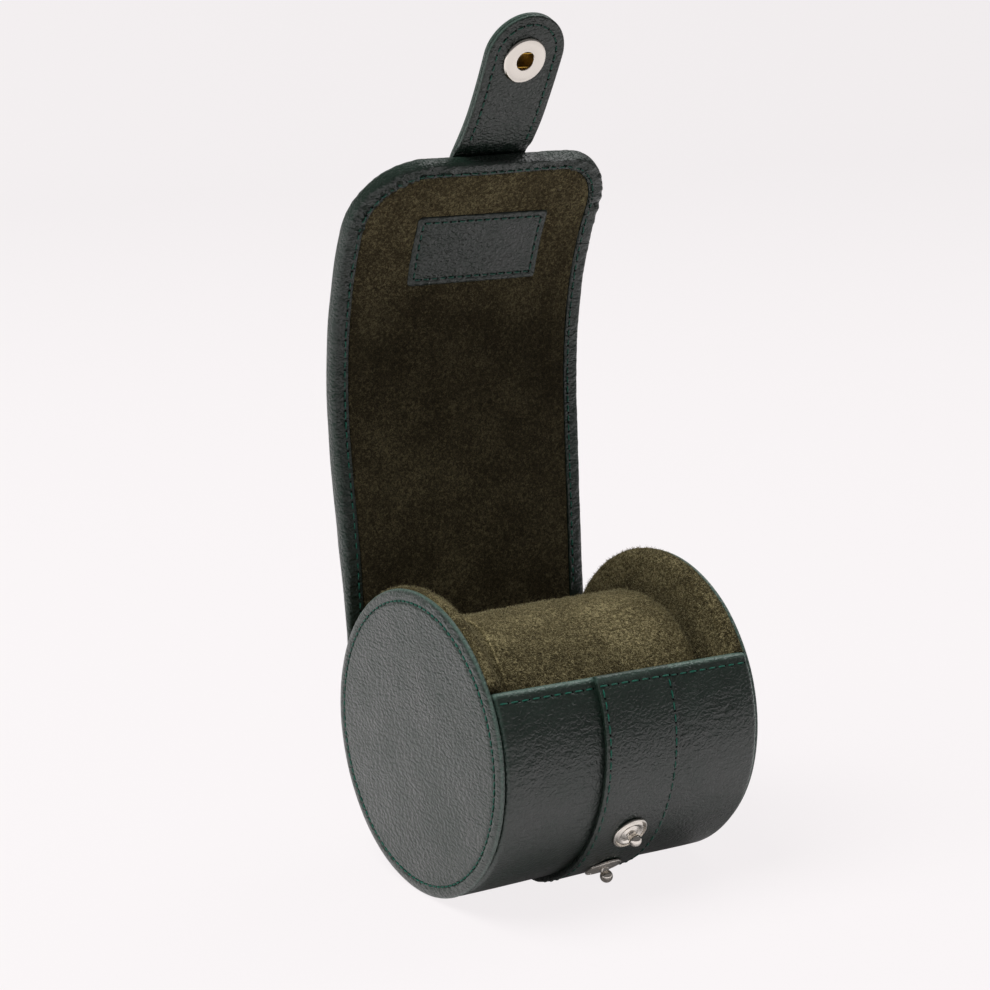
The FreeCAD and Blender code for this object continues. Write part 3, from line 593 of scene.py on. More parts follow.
def wallFull(x, angle):  # how far the wall swells over its round
    reach = wallHalf + wall["rightReach"]
    full = wall["rightFull"] * ease(x, -4 * mm, wallHalf) + wall["middleFull"] * (1 - (x / reach) ** 2)
    return full * (1 - ease(angle, 325, 350))


def roundLip(at, reach, turns, down):  # one round end of the wall's section
    lip = wall["thickness"] / 2
    return [(at + reach * math.sin(turn), rollRadius - lip + lip * math.cos(turn), math.cos(turn), down)
            for turn in np.radians(turns)]


def wallSection():  # points along the section: angle, radius, outward direction, distance from the front lip
    look = wall
    inner = rollRadius - look["thickness"]
    turnBack = math.degrees(look["thickness"] / (rollRadius + inner))
    first, last = look["frontLip"] + turnBack, look["backLip"] - turnBack
    dense = first + 75
    angles = [*np.arange(first, dense, 0.55), *np.arange(dense, last, 2.0), last]
    rows = [(a, rollRadius, 1.0, math.radians(a - look["frontLip"]) * rollRadius) for a in angles]
    rows += roundLip(last, turnBack, np.linspace(0, 180, 11)[1:-1], 1.0)
    rows += [(a, inner, -1.0, 1.0) for a in np.linspace(last, first, 90)]
    rows += roundLip(first, -turnBack, np.linspace(180, 0, 13)[1:-1], 0.0)
    return np.array(rows)


def makeWall():
    look = wall
    section = wallSection()
    inside = np.array([0, 0.04, 0.12, 0.25, 0.45, 0.7, 1.0])
    left, right = -wallHalf, wallHalf + look["rightReach"]
    x = np.concatenate([left + inside * look["leftRound"],
                        np.arange(left + 1.7 * mm, right - 2.0 * mm, 0.7 * mm),
                        (right - inside * look["rightRound"])[::-1]])[None, :]
    edge = np.where(x < 0, look["leftRound"], look["rightRound"])
    angle, radius, facing, down = [section[:, k][:, None] for k in range(4)]
    rim = np.clip(1 - np.minimum(x - left, right - x) / edge, 0, 0.999)
    drop = edge * (1 - np.sqrt(1 - rim ** 2))
    outside = facing > 0.9
    front = outside * ease(down, 3.5 * mm, 8 * mm) * (1 - ease(down, 26 * mm, 46 * mm))
    tall, wide = look["creaseSize"]
    lines = (1 - np.abs(noiseAt(11, (down + 0.12 * x) / tall, x / wide))) ** 3
    tall, wide = look["creasePatch"]
    crease = 0.6 - 1.4 * lines + 0.5 * noiseAt(5, down / tall, x / wide)
    groove = puckerAt(down - look["sewnDown"], look["puckerWide"], x, look["pitch"])
    pucker = look["pucker"] * outside * groove
    tall, wide = look["swellSize"]
    swell = look["swell"] * outside * noiseAt(2, down / tall, x / wide)
    raised = (front * crease * look["creaseHeight"] - pucker + swell) * (np.abs(facing) > 0.9)
    full = wallFull(x, angle) * (0.5 + 0.5 * facing)
    grown = radius + full + np.where(facing > 0, 1, -0.4) * (raised - drop)
    points = onRoll(angle - lipShift(x, angle), grown, x)
    points[..., 2] = np.maximum(points[..., 2], 0.02 * mm)
    rows, columns = grown.shape
    caps = [[r * columns for r in range(rows)], [r * columns + columns - 1 for r in range(rows)][::-1]]
    loop = np.concatenate([points, points[:1]]).reshape(-1, 3)
    piece = makePiece("wall_leather_shell", loop, gridFaces(rows + 1, columns) + caps, wallLeather, 50)
    points = pointsOf(piece)
    turn = turnOnRoll(points)
    lip = 1 - ease(np.abs(turn + lipShift(points[:, 0], turn) - look["frontLip"] - 0.6), 0.4, 2.2)
    ends = look["leftWear"] * ease(-points[:, 0], wallHalf - 1.0 * mm, wallHalf - 0.1 * mm)
    ends = ends + look["rightWear"] * ease(points[:, 0], right - 1.1 * mm, right - 0.5 * mm)
    high = ease(awayFromAxis(points), rollRadius - 1.5 * mm, rollRadius - 0.2 * mm)
    # painted highlight: the right end's pale line is a lit edge; the lip's pale line is partly wear and
    # partly painted highlight
    setValues(piece, "wearAndHighlight", lip * look["lipWear"] + ends * high)
    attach(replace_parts(piece, "wall_leather", "wall_board"), "roll")


def closeSheet(name, top, bottom, material):  # a thin solid from two grids of the same shape
    rows, columns = top.shape[:2]
    total = rows * columns
    faces = gridFaces(rows, columns) + [face[::-1] for face in gridFaces(rows, columns, total)]
    edge = [r * columns for r in range(rows)] + [(rows - 1) * columns + c for c in range(1, columns)]
    edge += [r * columns + columns - 1 for r in range(rows - 2, -1, -1)] + list(range(columns - 2, 0, -1))
    faces += [(a, b, b + total, a + total) for a, b in zip(edge, edge[1:] + edge[:1])]
    points = np.concatenate([top.reshape(-1, 3), bottom.reshape(-1, 3)])
    return makePiece(name, points, faces, material, 60)


def makeWallLining():
    look = wall
    inner = rollRadius - look["thickness"] - 0.02 * mm
    half = wallHalf - 0.6 * mm
    first = look["frontLip"] + math.degrees(look["turnedIn"] / rollRadius)
    angles = np.linspace(first, look["backLip"] - 1.0, 120)[:, None]
    x = np.linspace(-half, half, 60)[None, :]
    taper = np.minimum(1, np.minimum(angles - angles[0], angles[-1] - angles) / 0.8)
    fuzz = 0.05 * mm * noiseAt(8, angles / 2, x / (2 * mm))
    turned = angles - lipShift(x, angles)
    low = onRoll(turned, inner + (fuzz - look["lining"]) * taper, x)
    piece = closeSheet("wall_suede_lining", low, onRoll(turned, inner, x), liningSuede)
    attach(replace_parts(piece, "wall_lining"), "roll")


makeWall()
makeWallLining()
print("wall made")


# Suede end pads: the discs' inner sides, with puffed edges that stand free above the lips

endPad = {"round": 3.0 * mm, "bareFrom": 26.0, "bareTo": {-1: 145.6, 1: 150.4}, "slope": 1.2,
          "bareRadius": 40.35 * mm, "hiddenRadius": 36.2 * mm, "puff": 0.25 * mm, "lump": 0.16 * mm,
          "lumpSize": 8 * mm, "fineLump": 0.08 * mm, "fineSize": 2.2 * mm, "brushedUp": 0.25,
          "pressed": 0.55, "around": 300, "napLow": 8 * mm}


def makeEndPad(name, side):
    look = endPad
    depth, bend = faceBack - padIn, look["round"]
    angles = np.linspace(0, 360, look["around"], endpoint=False)
    first, last, slope = look["bareFrom"], look["bareTo"][side], look["slope"]
    bare = ease(angles, first - slope, first + slope) * (1 - ease(angles, last - slope, last + slope))
    edge = look["hiddenRadius"] + bare * (look["bareRadius"] - look["hiddenRadius"])
    rows = [(share * (edge - bend), 0.0) for share in np.linspace(0, 1, 26)]
    rows += [(edge - bend * (1 - math.sin(turn)), bend * (1 - math.cos(turn)))
             for turn in np.radians(np.linspace(0, 90, 12)[1:])]
    rows += [(edge - 0.5 * mm * share ** 2, bend + share * (depth - bend))
             for share in np.linspace(0, 1, 6)[1:]]
    rows += [(edge * share, depth) for share in (0.5, 0.0)]
    radius, inwards = np.moveaxis(np.array([np.broadcast_arrays(*row) for row in rows]), 1, 0)
    turn = np.radians(angles)
    sample = np.stack([radius * np.cos(turn), radius * np.sin(turn), inwards], axis=-1)
    lump = look["lump"] * softNoise(sample / look["lumpSize"], 4 + side)
    lump = lump + look["fineLump"] * softNoise(sample / look["fineSize"], 9)
    out = np.clip(radius / edge, 0, 1)
    free = (inwards < depth - 0.3 * mm) & (radius > 1 * mm)
    inwards = inwards + np.where(free, look["puff"] * out ** 6 + 0.4 * lump, 0)
    radius = radius + np.where(free, lump * out ** 4, 0)
    points = onRoll(angles[None, :], radius, side * (padIn + inwards))
    wrapped = np.concatenate([points, points[:, :1]], axis=1).reshape(-1, 3)
    faces = gridFaces(len(rows), look["around"] + 1)
    piece = makePiece(f"{name}_end_pad_suede", wrapped, faces, padSuede, 60)
    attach(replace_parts(piece, f"{name}_end_pad", f"{name}_end_board"), "roll")
    # painted shade: the pad's suede is darker where it meets the pillow
    middle = 1 - ease(awayFromAxis(pointsOf(piece)), 30 * mm, 34 * mm)
    setValues(piece, "brushed", look["brushedUp"] - look["pressed"] * middle)
    lowest = axisHeight - look["napLow"]
    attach(growNap(piece, 11 + side, lambda spot, way: way.x * side < 0.7 and spot.z > lowest), "roll")


for name, side in (("left", -1), ("right", 1)):
    makeEndPad(name, side)


# Pillow: foam under suede, puffed by a short cloth run, with a lapped seam near its left end

pillow = {"round": 4.5 * mm, "crown": 0.2 * mm, "fuller": 1.3 * mm, "seamDepth": 0.45 * mm,
          "seamWide": 1.0 * mm, "welt": 0.42 * mm, "weltHigh": 0.26 * mm, "weltUp": 1.05, "brushedUp": 0.25,
          "rightUp": 0.55, "lump": 0.18 * mm, "lumpSize": 7 * mm, "fineLump": 0.07 * mm,
          "fineSize": 1.8 * mm, "napLow": 4 * mm, "napClear": 1.2 * mm, "segments": 120, "voxel": 2.4 * mm,
          "pressure": 3.0, "quality": 6, "frames": 16, "mostMove": 0.9 * mm, "startIn": 0.5 * mm,
          "seam": [(0, -27.4), (38, -27.2), (53, -26.6), (79, -23.9), (120, -22.5), (180, -22.5)]}
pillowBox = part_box("pillow_cover")
pillowRadius = (pillowBox[1].z - pillowBox[0].z) / 2
pillowHalf = pillowBox[1].x


def pillowProfile(shrink):
    look = pillow
    half, low = pillowHalf - shrink, pillowRadius + look["fuller"] - shrink - look["crown"]
    corner = look["round"]
    rows = [(0.0, -half)] + roundArc((low - corner, -half + corner), corner, 270, 360, 12)
    rows += [(low + look["crown"] * (1 - share ** 2), share * (half - corner))
             for share in np.linspace(-1, 1, 60)[1:-1]]
    return rows + roundArc((low - corner, half - corner), corner, 0, 90, 12) + [(0.0, half)]


def puffPillow(piece):
    look = pillow
    remesh = piece.modifiers.new("evenMesh", "REMESH")
    remesh.mode, remesh.voxel_size = "VOXEL", look["voxel"]
    makePlain(piece)
    start = pointsOf(piece)
    cloth = piece.modifiers.new("suedeCloth", "CLOTH")
    cloth.settings.use_pressure = True
    cloth.settings.uniform_pressure_force = look["pressure"]
    cloth.settings.effector_weights.gravity = 0
    cloth.settings.quality = look["quality"]
    scene = bpy.context.scene
    for step in range(1, look["frames"] + 1):
        scene.frame_set(step)
    makePlain(piece)
    scene.frame_set(1)
    move = pointsOf(piece) - start
    far = np.linalg.norm(move, axis=1, keepdims=True)
    move *= np.minimum(1, look["mostMove"] / np.maximum(far, 1e-9))
    piece.data.vertices.foreach_set("co", (start + move).ravel())


def seamAt(angle):  # where the slanting seam runs, by the angle above the front
    spots = np.array(pillow["seam"])
    return np.interp(np.abs(angle), spots[:, 0], spots[:, 1] * mm)


def shownOnPillow(spot, way):  # the nap keeps off the seam
    away = spot.x - seamAt(math.degrees(math.atan2(spot.z - axisHeight, -spot.y)))
    return spot.z > axisHeight - pillow["napLow"] and abs(away) > pillow["napClear"]


def makeWelt(piece):
    look = pillow
    mesh = piece.data
    surface = BVHTree.FromPolygons([v.co for v in mesh.vertices], [p.vertices for p in mesh.polygons])
    line = []
    for angle in np.linspace(-40, 220, 241):
        x = float(seamAt(angle if angle <= 180 else 360 - angle))
        out = Vector((0, -math.cos(math.radians(angle)), math.sin(math.radians(angle))))
        spot = surface.ray_cast(Vector((x, 0, axisHeight)) + out * 2 * pillowRadius, -out)[0]
        line.append(spot + out * look["weltHigh"])
    welt = addObject("pillow_welt", newMesh("pillow_welt", line, [(k, k + 1) for k in range(len(line) - 1)]))
    runTree(welt, weltTree, Radius=look["welt"], Finish=padSuede)
    # painted highlight along the welt
    setValues(welt, "brushed", look["weltUp"])
    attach(welt, "roll")


def makePillow():
    look = pillow
    lying = Matrix.Translation((0, 0, axisHeight)) @ Matrix.Rotation(math.radians(90), 4, "Y")
    piece = turnPiece("pillow_suede", pillowProfile(look["startIn"]), look["segments"], padSuede, lying)
    puffPillow(piece)
    finer = piece.modifiers.new("finer", "SUBSURF")
    finer.levels = finer.render_levels = 1
    makePlain(piece)
    points = pointsOf(piece)
    across = awayFromAxis(points)
    away = points[:, 0] - seamAt(np.degrees(np.arctan2(points[:, 2] - axisHeight, -points[:, 1])))
    shift = -look["seamDepth"] * np.exp(-(away / look["seamWide"]) ** 2) * ease(across, 20 * mm, 26 * mm)
    shift = shift + look["lump"] * softNoise(points / look["lumpSize"], 21)
    shift = shift + look["fineLump"] * softNoise(points / look["fineSize"], 22)
    limit = np.minimum(pillowRadius + look["fuller"], across + shift) / np.maximum(across, 1e-6)
    grow = np.where(across > 5 * mm, limit, 1)
    points[:, 1] *= grow
    points[:, 2] = axisHeight + (points[:, 2] - axisHeight) * grow
    points[:, 0] = np.clip(points[:, 0], -pillowHalf + 0.02 * mm, pillowHalf - 0.02 * mm)
    piece.data.vertices.foreach_set("co", points.ravel())
    piece.data.materials.clear()
    piece.data.materials.append(padSuede)
    piece.data.shade_smooth()
    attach(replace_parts(piece, "pillow_cover", "pillow_core"), "roll")
    makeWelt(piece)
    # painted light: the pillow's right part is made paler
    setValues(piece, "brushed", look["brushedUp"] + look["rightUp"] * ease(points[:, 0], -5 * mm, 25 * mm))
    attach(growNap(piece, 5, shownOnPillow), "roll")


makePillow()
print("pads and pillow made")


# Flap: one padded sheet along a smooth line through the hinges, cut at the middle of each panel

pivots = {joint["name"]: np.array(joint["pos_m"][1:]) for joint in frame["joints"]}
flapLines = np.array([pivots[name] for name in ("flap_hinge", "flap_curl", "flap_curl_2", "flap_curl_3",
                                                "flap_curl_4")])
panelLength = float(np.linalg.norm(flapLines[1] - flapLines[0]))
flap = {"hingeThickness": 2.2 * mm, "thickness": 4.5 * mm, "endLeans": (-12.5, -36.0),
        "endLength": 36.9 * mm, "corner": 20.0 * mm, "rightCorner": 16.0 * mm, "border": 3.75 * mm,
        "lining": 0.8 * mm, "edge": 1.7 * mm, "leaveWall": 9.0, "lowSteps": 150, "blur": 9 * mm,
        "flare": 1.1 * mm, "over": 1.6 * mm, "sideBorder": 0.9 * mm, "sewnIn": 2.9 * mm,
        "sewnFrom": 2 * mm, "pitch": 2.7 * mm, "step": 0.6 * mm, "hingeReach": 7.0 * mm,
        "bendReach": 10.8 * mm, "brushedUp": 2.6, "sideWear": 0.06, "topWear": 0.05, "pleat": 0.55 * mm,
        "wrinkle": 0.16 * mm, "cornerWrinkle": 0.2 * mm, "drift": 0.08 * mm, "driftSize": 9 * mm,
        "pucker": 0.16 * mm, "puckerWide": 0.5 * mm, "lump": 0.1 * mm, "lumpSize": 9 * mm,
        "fineLump": 0.04 * mm, "fineSize": 1.9 * mm}
label = {"width": 39.4 * mm, "height": 20 * mm, "start": 2.2 * mm, "proud": -0.1 * mm, "edge": 0.8 * mm,
         "drop": 0.55 * mm, "corner": 1.3 * mm, "sewnIn": 1.8 * mm, "pitch": 2.5 * mm, "groove": 0.3 * mm,
         "under": 0.7 * mm, "pressedIn": 0.5 * mm, "thread": 0.24 * mm, "step": 0.6 * mm}
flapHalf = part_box("flap_leather_3")[1].x
flapEnd = 4 * panelLength + flap["endLength"]
labelStart = 4 * panelLength + label["start"]


def hermite(start, startWay, end, endWay, count):
    t = np.linspace(0, 1, count)[:, None]
    span = np.linalg.norm(end - start)
    return ((2 * t ** 3 - 3 * t ** 2 + 1) * start + (t ** 3 - 2 * t ** 2 + t) * startWay * span
            + (-2 * t ** 3 + 3 * t ** 2) * end + (t ** 3 - t ** 2) * endWay * span)


def leanWay(lean):  # direction up a sheet that leans back by that many degrees
    return np.stack([np.sin(np.radians(lean)), np.cos(np.radians(lean))], axis=-1)


def runLine(start, spots, leans, blur, step=0.1 * mm):  # a line whose lean eases from spot to spot
    s = np.arange(spots[0], spots[-1] + step / 2, step)
    lean = np.interp(s, spots, leans)
    width = max(1, int(blur / step) // 2 * 2 + 1)
    lean = np.convolve(np.pad(lean, width // 2, mode="edge"), np.ones(width) / width, "valid")
    ways = leanWay(lean)
    steps = (ways[1:] + ways[:-1]) / 2 * step
    return s, start + np.concatenate([[[0, 0]], np.cumsum(steps, axis=0)]), lean


def flapLine():
    look = flap
    leans = [math.degrees(math.atan2(*way)) for way in np.diff(flapLines, axis=0)]
    leans = leans[:1] + leans + list(look["endLeans"]) + [look["endLeans"][1] - 1.0]
    spots = [0.0] + [(k + 0.5) * panelLength for k in range(4)]
    spots += [4 * panelLength, flapEnd, flapEnd + look["over"]]
    s, inner, lean = runLine(flapLines[0], spots, leans, look["blur"])
    thicker = look["thickness"] - look["hingeThickness"]
    thick = look["hingeThickness"] + thicker * np.clip(s / panelLength, 0, 1)
    outer = inner + np.stack([np.cos(np.radians(lean)), -np.sin(np.radians(lean))], axis=-1) * thick[:, None]
    low = math.radians(look["leaveWall"])
    wallWay = np.array([-math.sin(low), math.cos(low)])
    wallOut = np.array([math.cos(low), math.sin(low)])
    centre = np.array([0, axisHeight])
    outWay = (outer[4] - outer[0]) / np.linalg.norm(outer[4] - outer[0])
    count = look["lowSteps"]
    outerLow = hermite(centre + wallOut * (rollRadius + 0.03 * mm), wallWay, outer[0], outWay, count)
    innerLow = hermite(centre + wallOut * (rollRadius - 2.0 * mm), wallWay, inner[0], leanWay(lean[0]), count)
    lowLength = float(np.sum(np.linalg.norm(np.diff(outerLow, axis=0), axis=1)))
    return {"s": np.concatenate([np.linspace(-lowLength, 0, count)[:-1], s]), "start": -lowLength,
            "inner": np.concatenate([innerLow[:-1], inner]), "outer": np.concatenate([outerLow[:-1], outer]),
            "end": flapEnd + look["over"]}


flapPath = flapLine()
flapPath.update(middle=0.0, flare=flap["flare"] / flapHalf, flareRange=(8 * mm, 60 * mm), sway=((0,), (0,)))


def lineAt(path, key, s):
    return np.stack([np.interp(s, path["s"], path[key][:, k]) for k in (0, 1)], axis=-1)


def sheetPoint(path, x, s, share, extra):  # share of the thickness from the lining, then a depth
    inner, outer = lineAt(path, "inner", s), lineAt(path, "outer", s)
    way = outer - inner
    thick = np.linalg.norm(way, axis=-1, keepdims=True)
    spot = inner + way * share + way / thick * np.broadcast_to(extra, s.shape)[..., None]
    wider = 1 + path["flare"] * ease(s, *path["flareRange"])
    placed = path["middle"] + (x - path["middle"]) * wider + np.interp(s, *path["sway"])
    return np.concatenate([placed[..., None], spot], axis=-1)


def widthAt(shape, inside):  # half width some way in; the side borders are wider than the top one
    wider = shape["sideBorder"] * ease(inside, 1.7 * mm, 3.4 * mm) * (1 - ease(inside, 8 * mm, 20 * mm))
    return shape["half"] - inside - wider


def sideRow(shape, inside, run, side):  # one long edge of a part, some way in, and the way out of it
    spots = np.stack([np.full(len(run), side * widthAt(shape, inside)), run], axis=-1)
    return spots, np.tile([side, 0.0], (len(run), 1))


def outlineRow(shape, inside, sFrom, counts):  # the same round a sheet's end
    half, end, keep = shape["half"], shape["end"], shape["keep"]
    first = min(inside, keep)
    rest = max(0.0, (inside - keep) / (half - keep))
    width = widthAt(shape, inside)
    top = end - first - rest * (end - keep - sFrom - shape["crest"])
    sides, bends, tops = counts
    turn = np.radians(np.linspace(180, 90, bends + 2)[1:-1])
    spots, ways, starts = [], [], []
    for corner, side in ((shape["corner"], -1.0), (shape["rightCorner"], 1.0)):
        radius = (corner - first) * (1 - rest)
        edge, out = sideRow(shape, inside, np.linspace(sFrom, top - radius, sides), side)
        bend = np.stack([side * (width - radius - radius * np.cos(turn)),
                         top - radius + radius * np.sin(turn)], axis=-1)
        spots.append(np.concatenate([edge, bend]))
        ways.append(np.concatenate([out, np.stack([-side * np.cos(turn), np.sin(turn)], axis=-1)]))
        starts.append(side * (width - radius))
    flat = np.stack([np.linspace(*starts, tops), np.full(tops, top)], axis=-1)
    spots = np.concatenate([spots[0], flat, spots[1][::-1]])
    high = ease(spots[:, 1], end - 30 * mm, end) * ease(spots[:, 0], -0.2 * half, 0.6 * half)
    spots[:, 1] += shape["rightRise"] * high
    return spots, np.concatenate([ways[0], np.tile([0, 1.0], (tops, 1)), ways[1][::-1]])


def ringGrid(path, shape, rings, sFrom, sTo, hasEnd, relief, step):
    straight = (shape["end"] - shape["corner"] if hasEnd else sTo) - sFrom
    sides = max(3, int(math.ceil(straight / step)) + 1)
    if hasEnd:
        bends = max(4, int(shape["corner"] * math.pi / 2 / step))
        tops = max(2, int(2 * (shape["half"] - shape["corner"]) / step) + 2)
        layout = [lambda inside: outlineRow(shape, inside, sFrom, (sides, bends, tops))]
    else:
        rows = np.linspace(sFrom, sTo, sides)
        layout = [lambda inside, side=side: sideRow(shape, inside, rows, side) for side in (-1.0, 1.0)]
    grids = []
    for rowAt in layout:
        edge = rowAt(0.0)[0]
        run = edge[0, 1] + np.concatenate([[0], np.cumsum(np.linalg.norm(np.diff(edge, axis=0), axis=1))])
        grid = []
        for inside, share, extra, outwards, upwards in rings:
            spots, ways = rowAt(inside)
            raised = relief(run, spots, inside, share, upwards)
            spots = spots + ways * (outwards * raised)[:, None]
            x, s = spots[:, 0] + shape["x"], spots[:, 1]
            grid.append(sheetPoint(path, x, s, share, extra + upwards * raised))
        grids.append(np.array(grid))
    return grids


def ringPiece(name, grids, material, sharpAngle=50):
    faces, firsts, lasts, start = [], [], [], 0
    for grid in grids:
        rows, columns = grid.shape[:2]
        faces += gridFaces(rows, columns, start)
        firsts.append([start + r * columns for r in range(rows)])
        lasts.append([start + r * columns + columns - 1 for r in range(rows)])
        start += rows * columns
    if len(grids) == 2:
        faces += [firsts[0] + firsts[1][::-1], lasts[0] + lasts[1][::-1]]
    else:
        faces += [firsts[0] + lasts[0][::-1]]
    points = np.concatenate([grid.reshape(-1, 3) for grid in grids])
    return makePiece(name, points, faces, material, sharpAngle)


def stepsTo(start, stop, fine, coarse, change):  # inward spots, close together near the edge
    return [*np.arange(start, change, fine), *np.linspace(change, stop, int((stop - change) / coarse) + 2)]


def leatherRings():  # inside, share, extra depth, outward part, upward part of the relief
    border, edge = flap["border"], flap["edge"]
    deep = (flapHalf, 26 * mm, 14 * mm, border + 0.3 * mm)
    rings = [(inside, 0.0, flap["lining"], 0.0, 0.0) for inside in deep]
    rings += [(border + 0.05 * mm, 0.0, 0.55 * mm, 0.0, 0.0), (border, 0.0, 0.2 * mm, 0.0, -0.5),
              (border - 0.2 * mm, 0.0, 0.03 * mm, 0.0, -1.0)]
    rings += [(inside, 0.0, 0.0, 0.0, -1.0) for inside in np.linspace(border - 0.45 * mm, edge, 6)]
    for turn in np.radians(np.linspace(0, 180, 15)[1:-1]):
        out, up = math.sin(turn), math.cos(turn)
        rings.append((edge * (1 - out ** 0.7), (1 - math.copysign(abs(up) ** 0.7, up)) / 2, 0.0, out, -up))
    rings += [(inside, 1.0, 0.0, 0.0, 1.0) for inside in stepsTo(edge, flapHalf, 0.45 * mm, 2.2 * mm, 7 * mm)]
    return rings


def liningRings():
    border, low = flap["border"], flap["lining"] - 0.03 * mm
    shown = stepsTo(border + 0.9 * mm, flapHalf, 0.8 * mm, 1.6 * mm, 6 * mm)[::-1]
    rings = [(inside, 0.0, 0.1 * mm, 0.0, -1.0) for inside in shown]
    rings += [(border + 0.5 * mm, 0.0, 0.2 * mm, 0.0, -0.5), (border + 0.15 * mm, 0.0, 0.5 * mm, 0.0, 0.0)]
    rings += [(inside, 0.0, low, 0.0, 0.0) for inside in (border + 0.3 * mm, 14 * mm, 26 * mm, flapHalf)]
    return rings


flapShape = {"half": flapHalf, "corner": flap["corner"], "rightCorner": flap["rightCorner"],
             "end": flapPath["end"], "keep": 9 * mm, "crest": 7 * mm, "x": 0.0, "rightRise": 0.8 * mm,
             "sideBorder": flap["sideBorder"]}


def leatherRelief(run, spots, inside, share, upwards):  # gathers at the corners, wrinkles, stitch puckers
    look = flap
    high, wide = flapEnd - look["corner"], flapHalf - look["corner"]
    corner = ease(spots[:, 1], high - 4 * mm, high + 4 * mm)
    corner = corner * ease(np.abs(spots[:, 0]), wide - 9 * mm, wide - 1 * mm)
    nearEdge = 1 - ease(inside, 4.5 * mm, 8 * mm) if share > 0.5 else 1.0
    across = inside if share < 0.5 else -inside
    pleats = noiseAt(31, run / (1.05 * mm) + 0.15 * across / mm, across / (4.5 * mm))
    fine = noiseAt(17, (run + 0.8 * across) / (0.95 * mm), across / (1.6 * mm))
    drift = look["drift"] * noiseAt(6, run / look["driftSize"], across / look["driftSize"])
    pucker = puckerAt(inside - look["sewnIn"], look["puckerWide"], run, look["pitch"])
    pucker = pucker * (share in (0.0, 1.0))
    shown = (0.06 + 0.94 * abs(upwards) ** 3) * (1.0 if share < 0.45 else 0.3)  # the outline stays smooth
    wrinkles = (look["wrinkle"] + look["cornerWrinkle"] * corner) * fine
    height = shown * nearEdge * (look["pleat"] * corner * pleats + wrinkles) + drift
    return height * (abs(upwards) + share > 0) - look["pucker"] * pucker


def liningRelief(run, spots, inside, share, upwards):  # soft lumps, and pressed in under the label
    lumps = flap["lump"] * softNoise(spots / flap["lumpSize"], 41)
    lumps = lumps + flap["fineLump"] * softNoise(spots / flap["fineSize"], 42)
    middle = np.array([bandMiddle, labelStart + label["height"] / 2])
    away = np.max(np.abs(spots - middle) - np.array([label["width"], label["height"]]) / 2, axis=1)
    return lumps - label["pressedIn"] * (1 - ease(away, 0.2 * mm, 2.2 * mm))


flapCuts = [flapPath["start"]] + [(k + 0.5) * panelLength for k in range(5)] + [flapPath["end"]]


def joinBodies(piece, part):  # part 6 goes with flap_panel_5; parts 1 to 5 are left in place
    if part == 6:
        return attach(piece, "flap_panel_5")
    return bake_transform(piece)


def wearAndHighlightOfFlap(piece):
    points = pointsOf(piece)
    side = ease(np.abs(points[:, 0]), flapHalf - 1.4 * mm, flapHalf)
    # painted highlight on the upward-facing top edge; the side edges are rubbed wear
    top = ease(pointsOf(piece, "normal")[:, 2], 0.6, 0.95) * ease(points[:, 2], 150 * mm, 175 * mm)
    return flap["sideWear"] * side + flap["topWear"] * top


def makeFlap():
    look = flap
    layers = (("flap_leather", leatherRings(), leatherRelief, look["step"], flapLeather),
              ("flap_suede", liningRings(), liningRelief, look["step"] * 1.6, liningSuede))
    for part in range(1, 7):
        sFrom, sTo = flapCuts[part - 1], flapCuts[part]
        made = []
        for name, rings, relief, step, material in layers:
            grids = ringGrid(flapPath, flapShape, rings, sFrom, sTo, part == 6, relief, step)
            made.append(ringPiece(f"{name}_part_{part}", grids, material))
        leather, lining = made
        setValues(leather, "wearAndHighlight", wearAndHighlightOfFlap(leather))
        # painted light: the lining is made paler towards its top
        setValues(lining, "brushed", look["brushedUp"] * ease(pointsOf(lining)[:, 2], 130 * mm, 182 * mm))
        if part < 6:
            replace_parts(leather, f"flap_leather_{part}", f"flap_core_{part}")
            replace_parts(lining, f"flap_lining_{part}")
        joinBodies(leather, part)
        joinBodies(lining, part)


makeFlap()
print("flap made")


# Strap up the outside of the flap, running on as the tab

strap = {"thickness": 1.9 * mm, "tabThickness": 2.6 * mm, "round": 0.6 * mm, "sewnIn": 1.1 * mm,
         "pitch": 3.0 * mm, "tabLength": 42.0 * mm, "recess": 0.8 * mm, "recessTo": (1.4 * mm, 5.2 * mm),
         "tabLeans": [(0, -37.0), (7, -36.5), (14, -30.5), (21, -26.5), (43, -23.5)], "blur": 6 * mm,
         "step": 0.7 * mm, "sink": 0.12 * mm, "tabSewnIn": 2.5 * mm, "tabPitch": 2.6 * mm,
         "tabReach": 4.5 * mm, "drift": -1.2 * mm, "tipTaper": -0.02, "sway": (-1.0 * mm, -0.2 * mm),
         "tuck": 0.4 * mm, "wearAndHighlight": 0.06, "tabWear": 0.4, "rollWear": 0.03, "lipWear": 0.3,
         "pucker": 0.15 * mm, "puckerWide": 0.45 * mm, "swell": 0.04 * mm, "swellSize": 6 * mm,
         "rollSwell": 0.05 * mm, "rollSwellSize": (7 * mm, 9 * mm)}


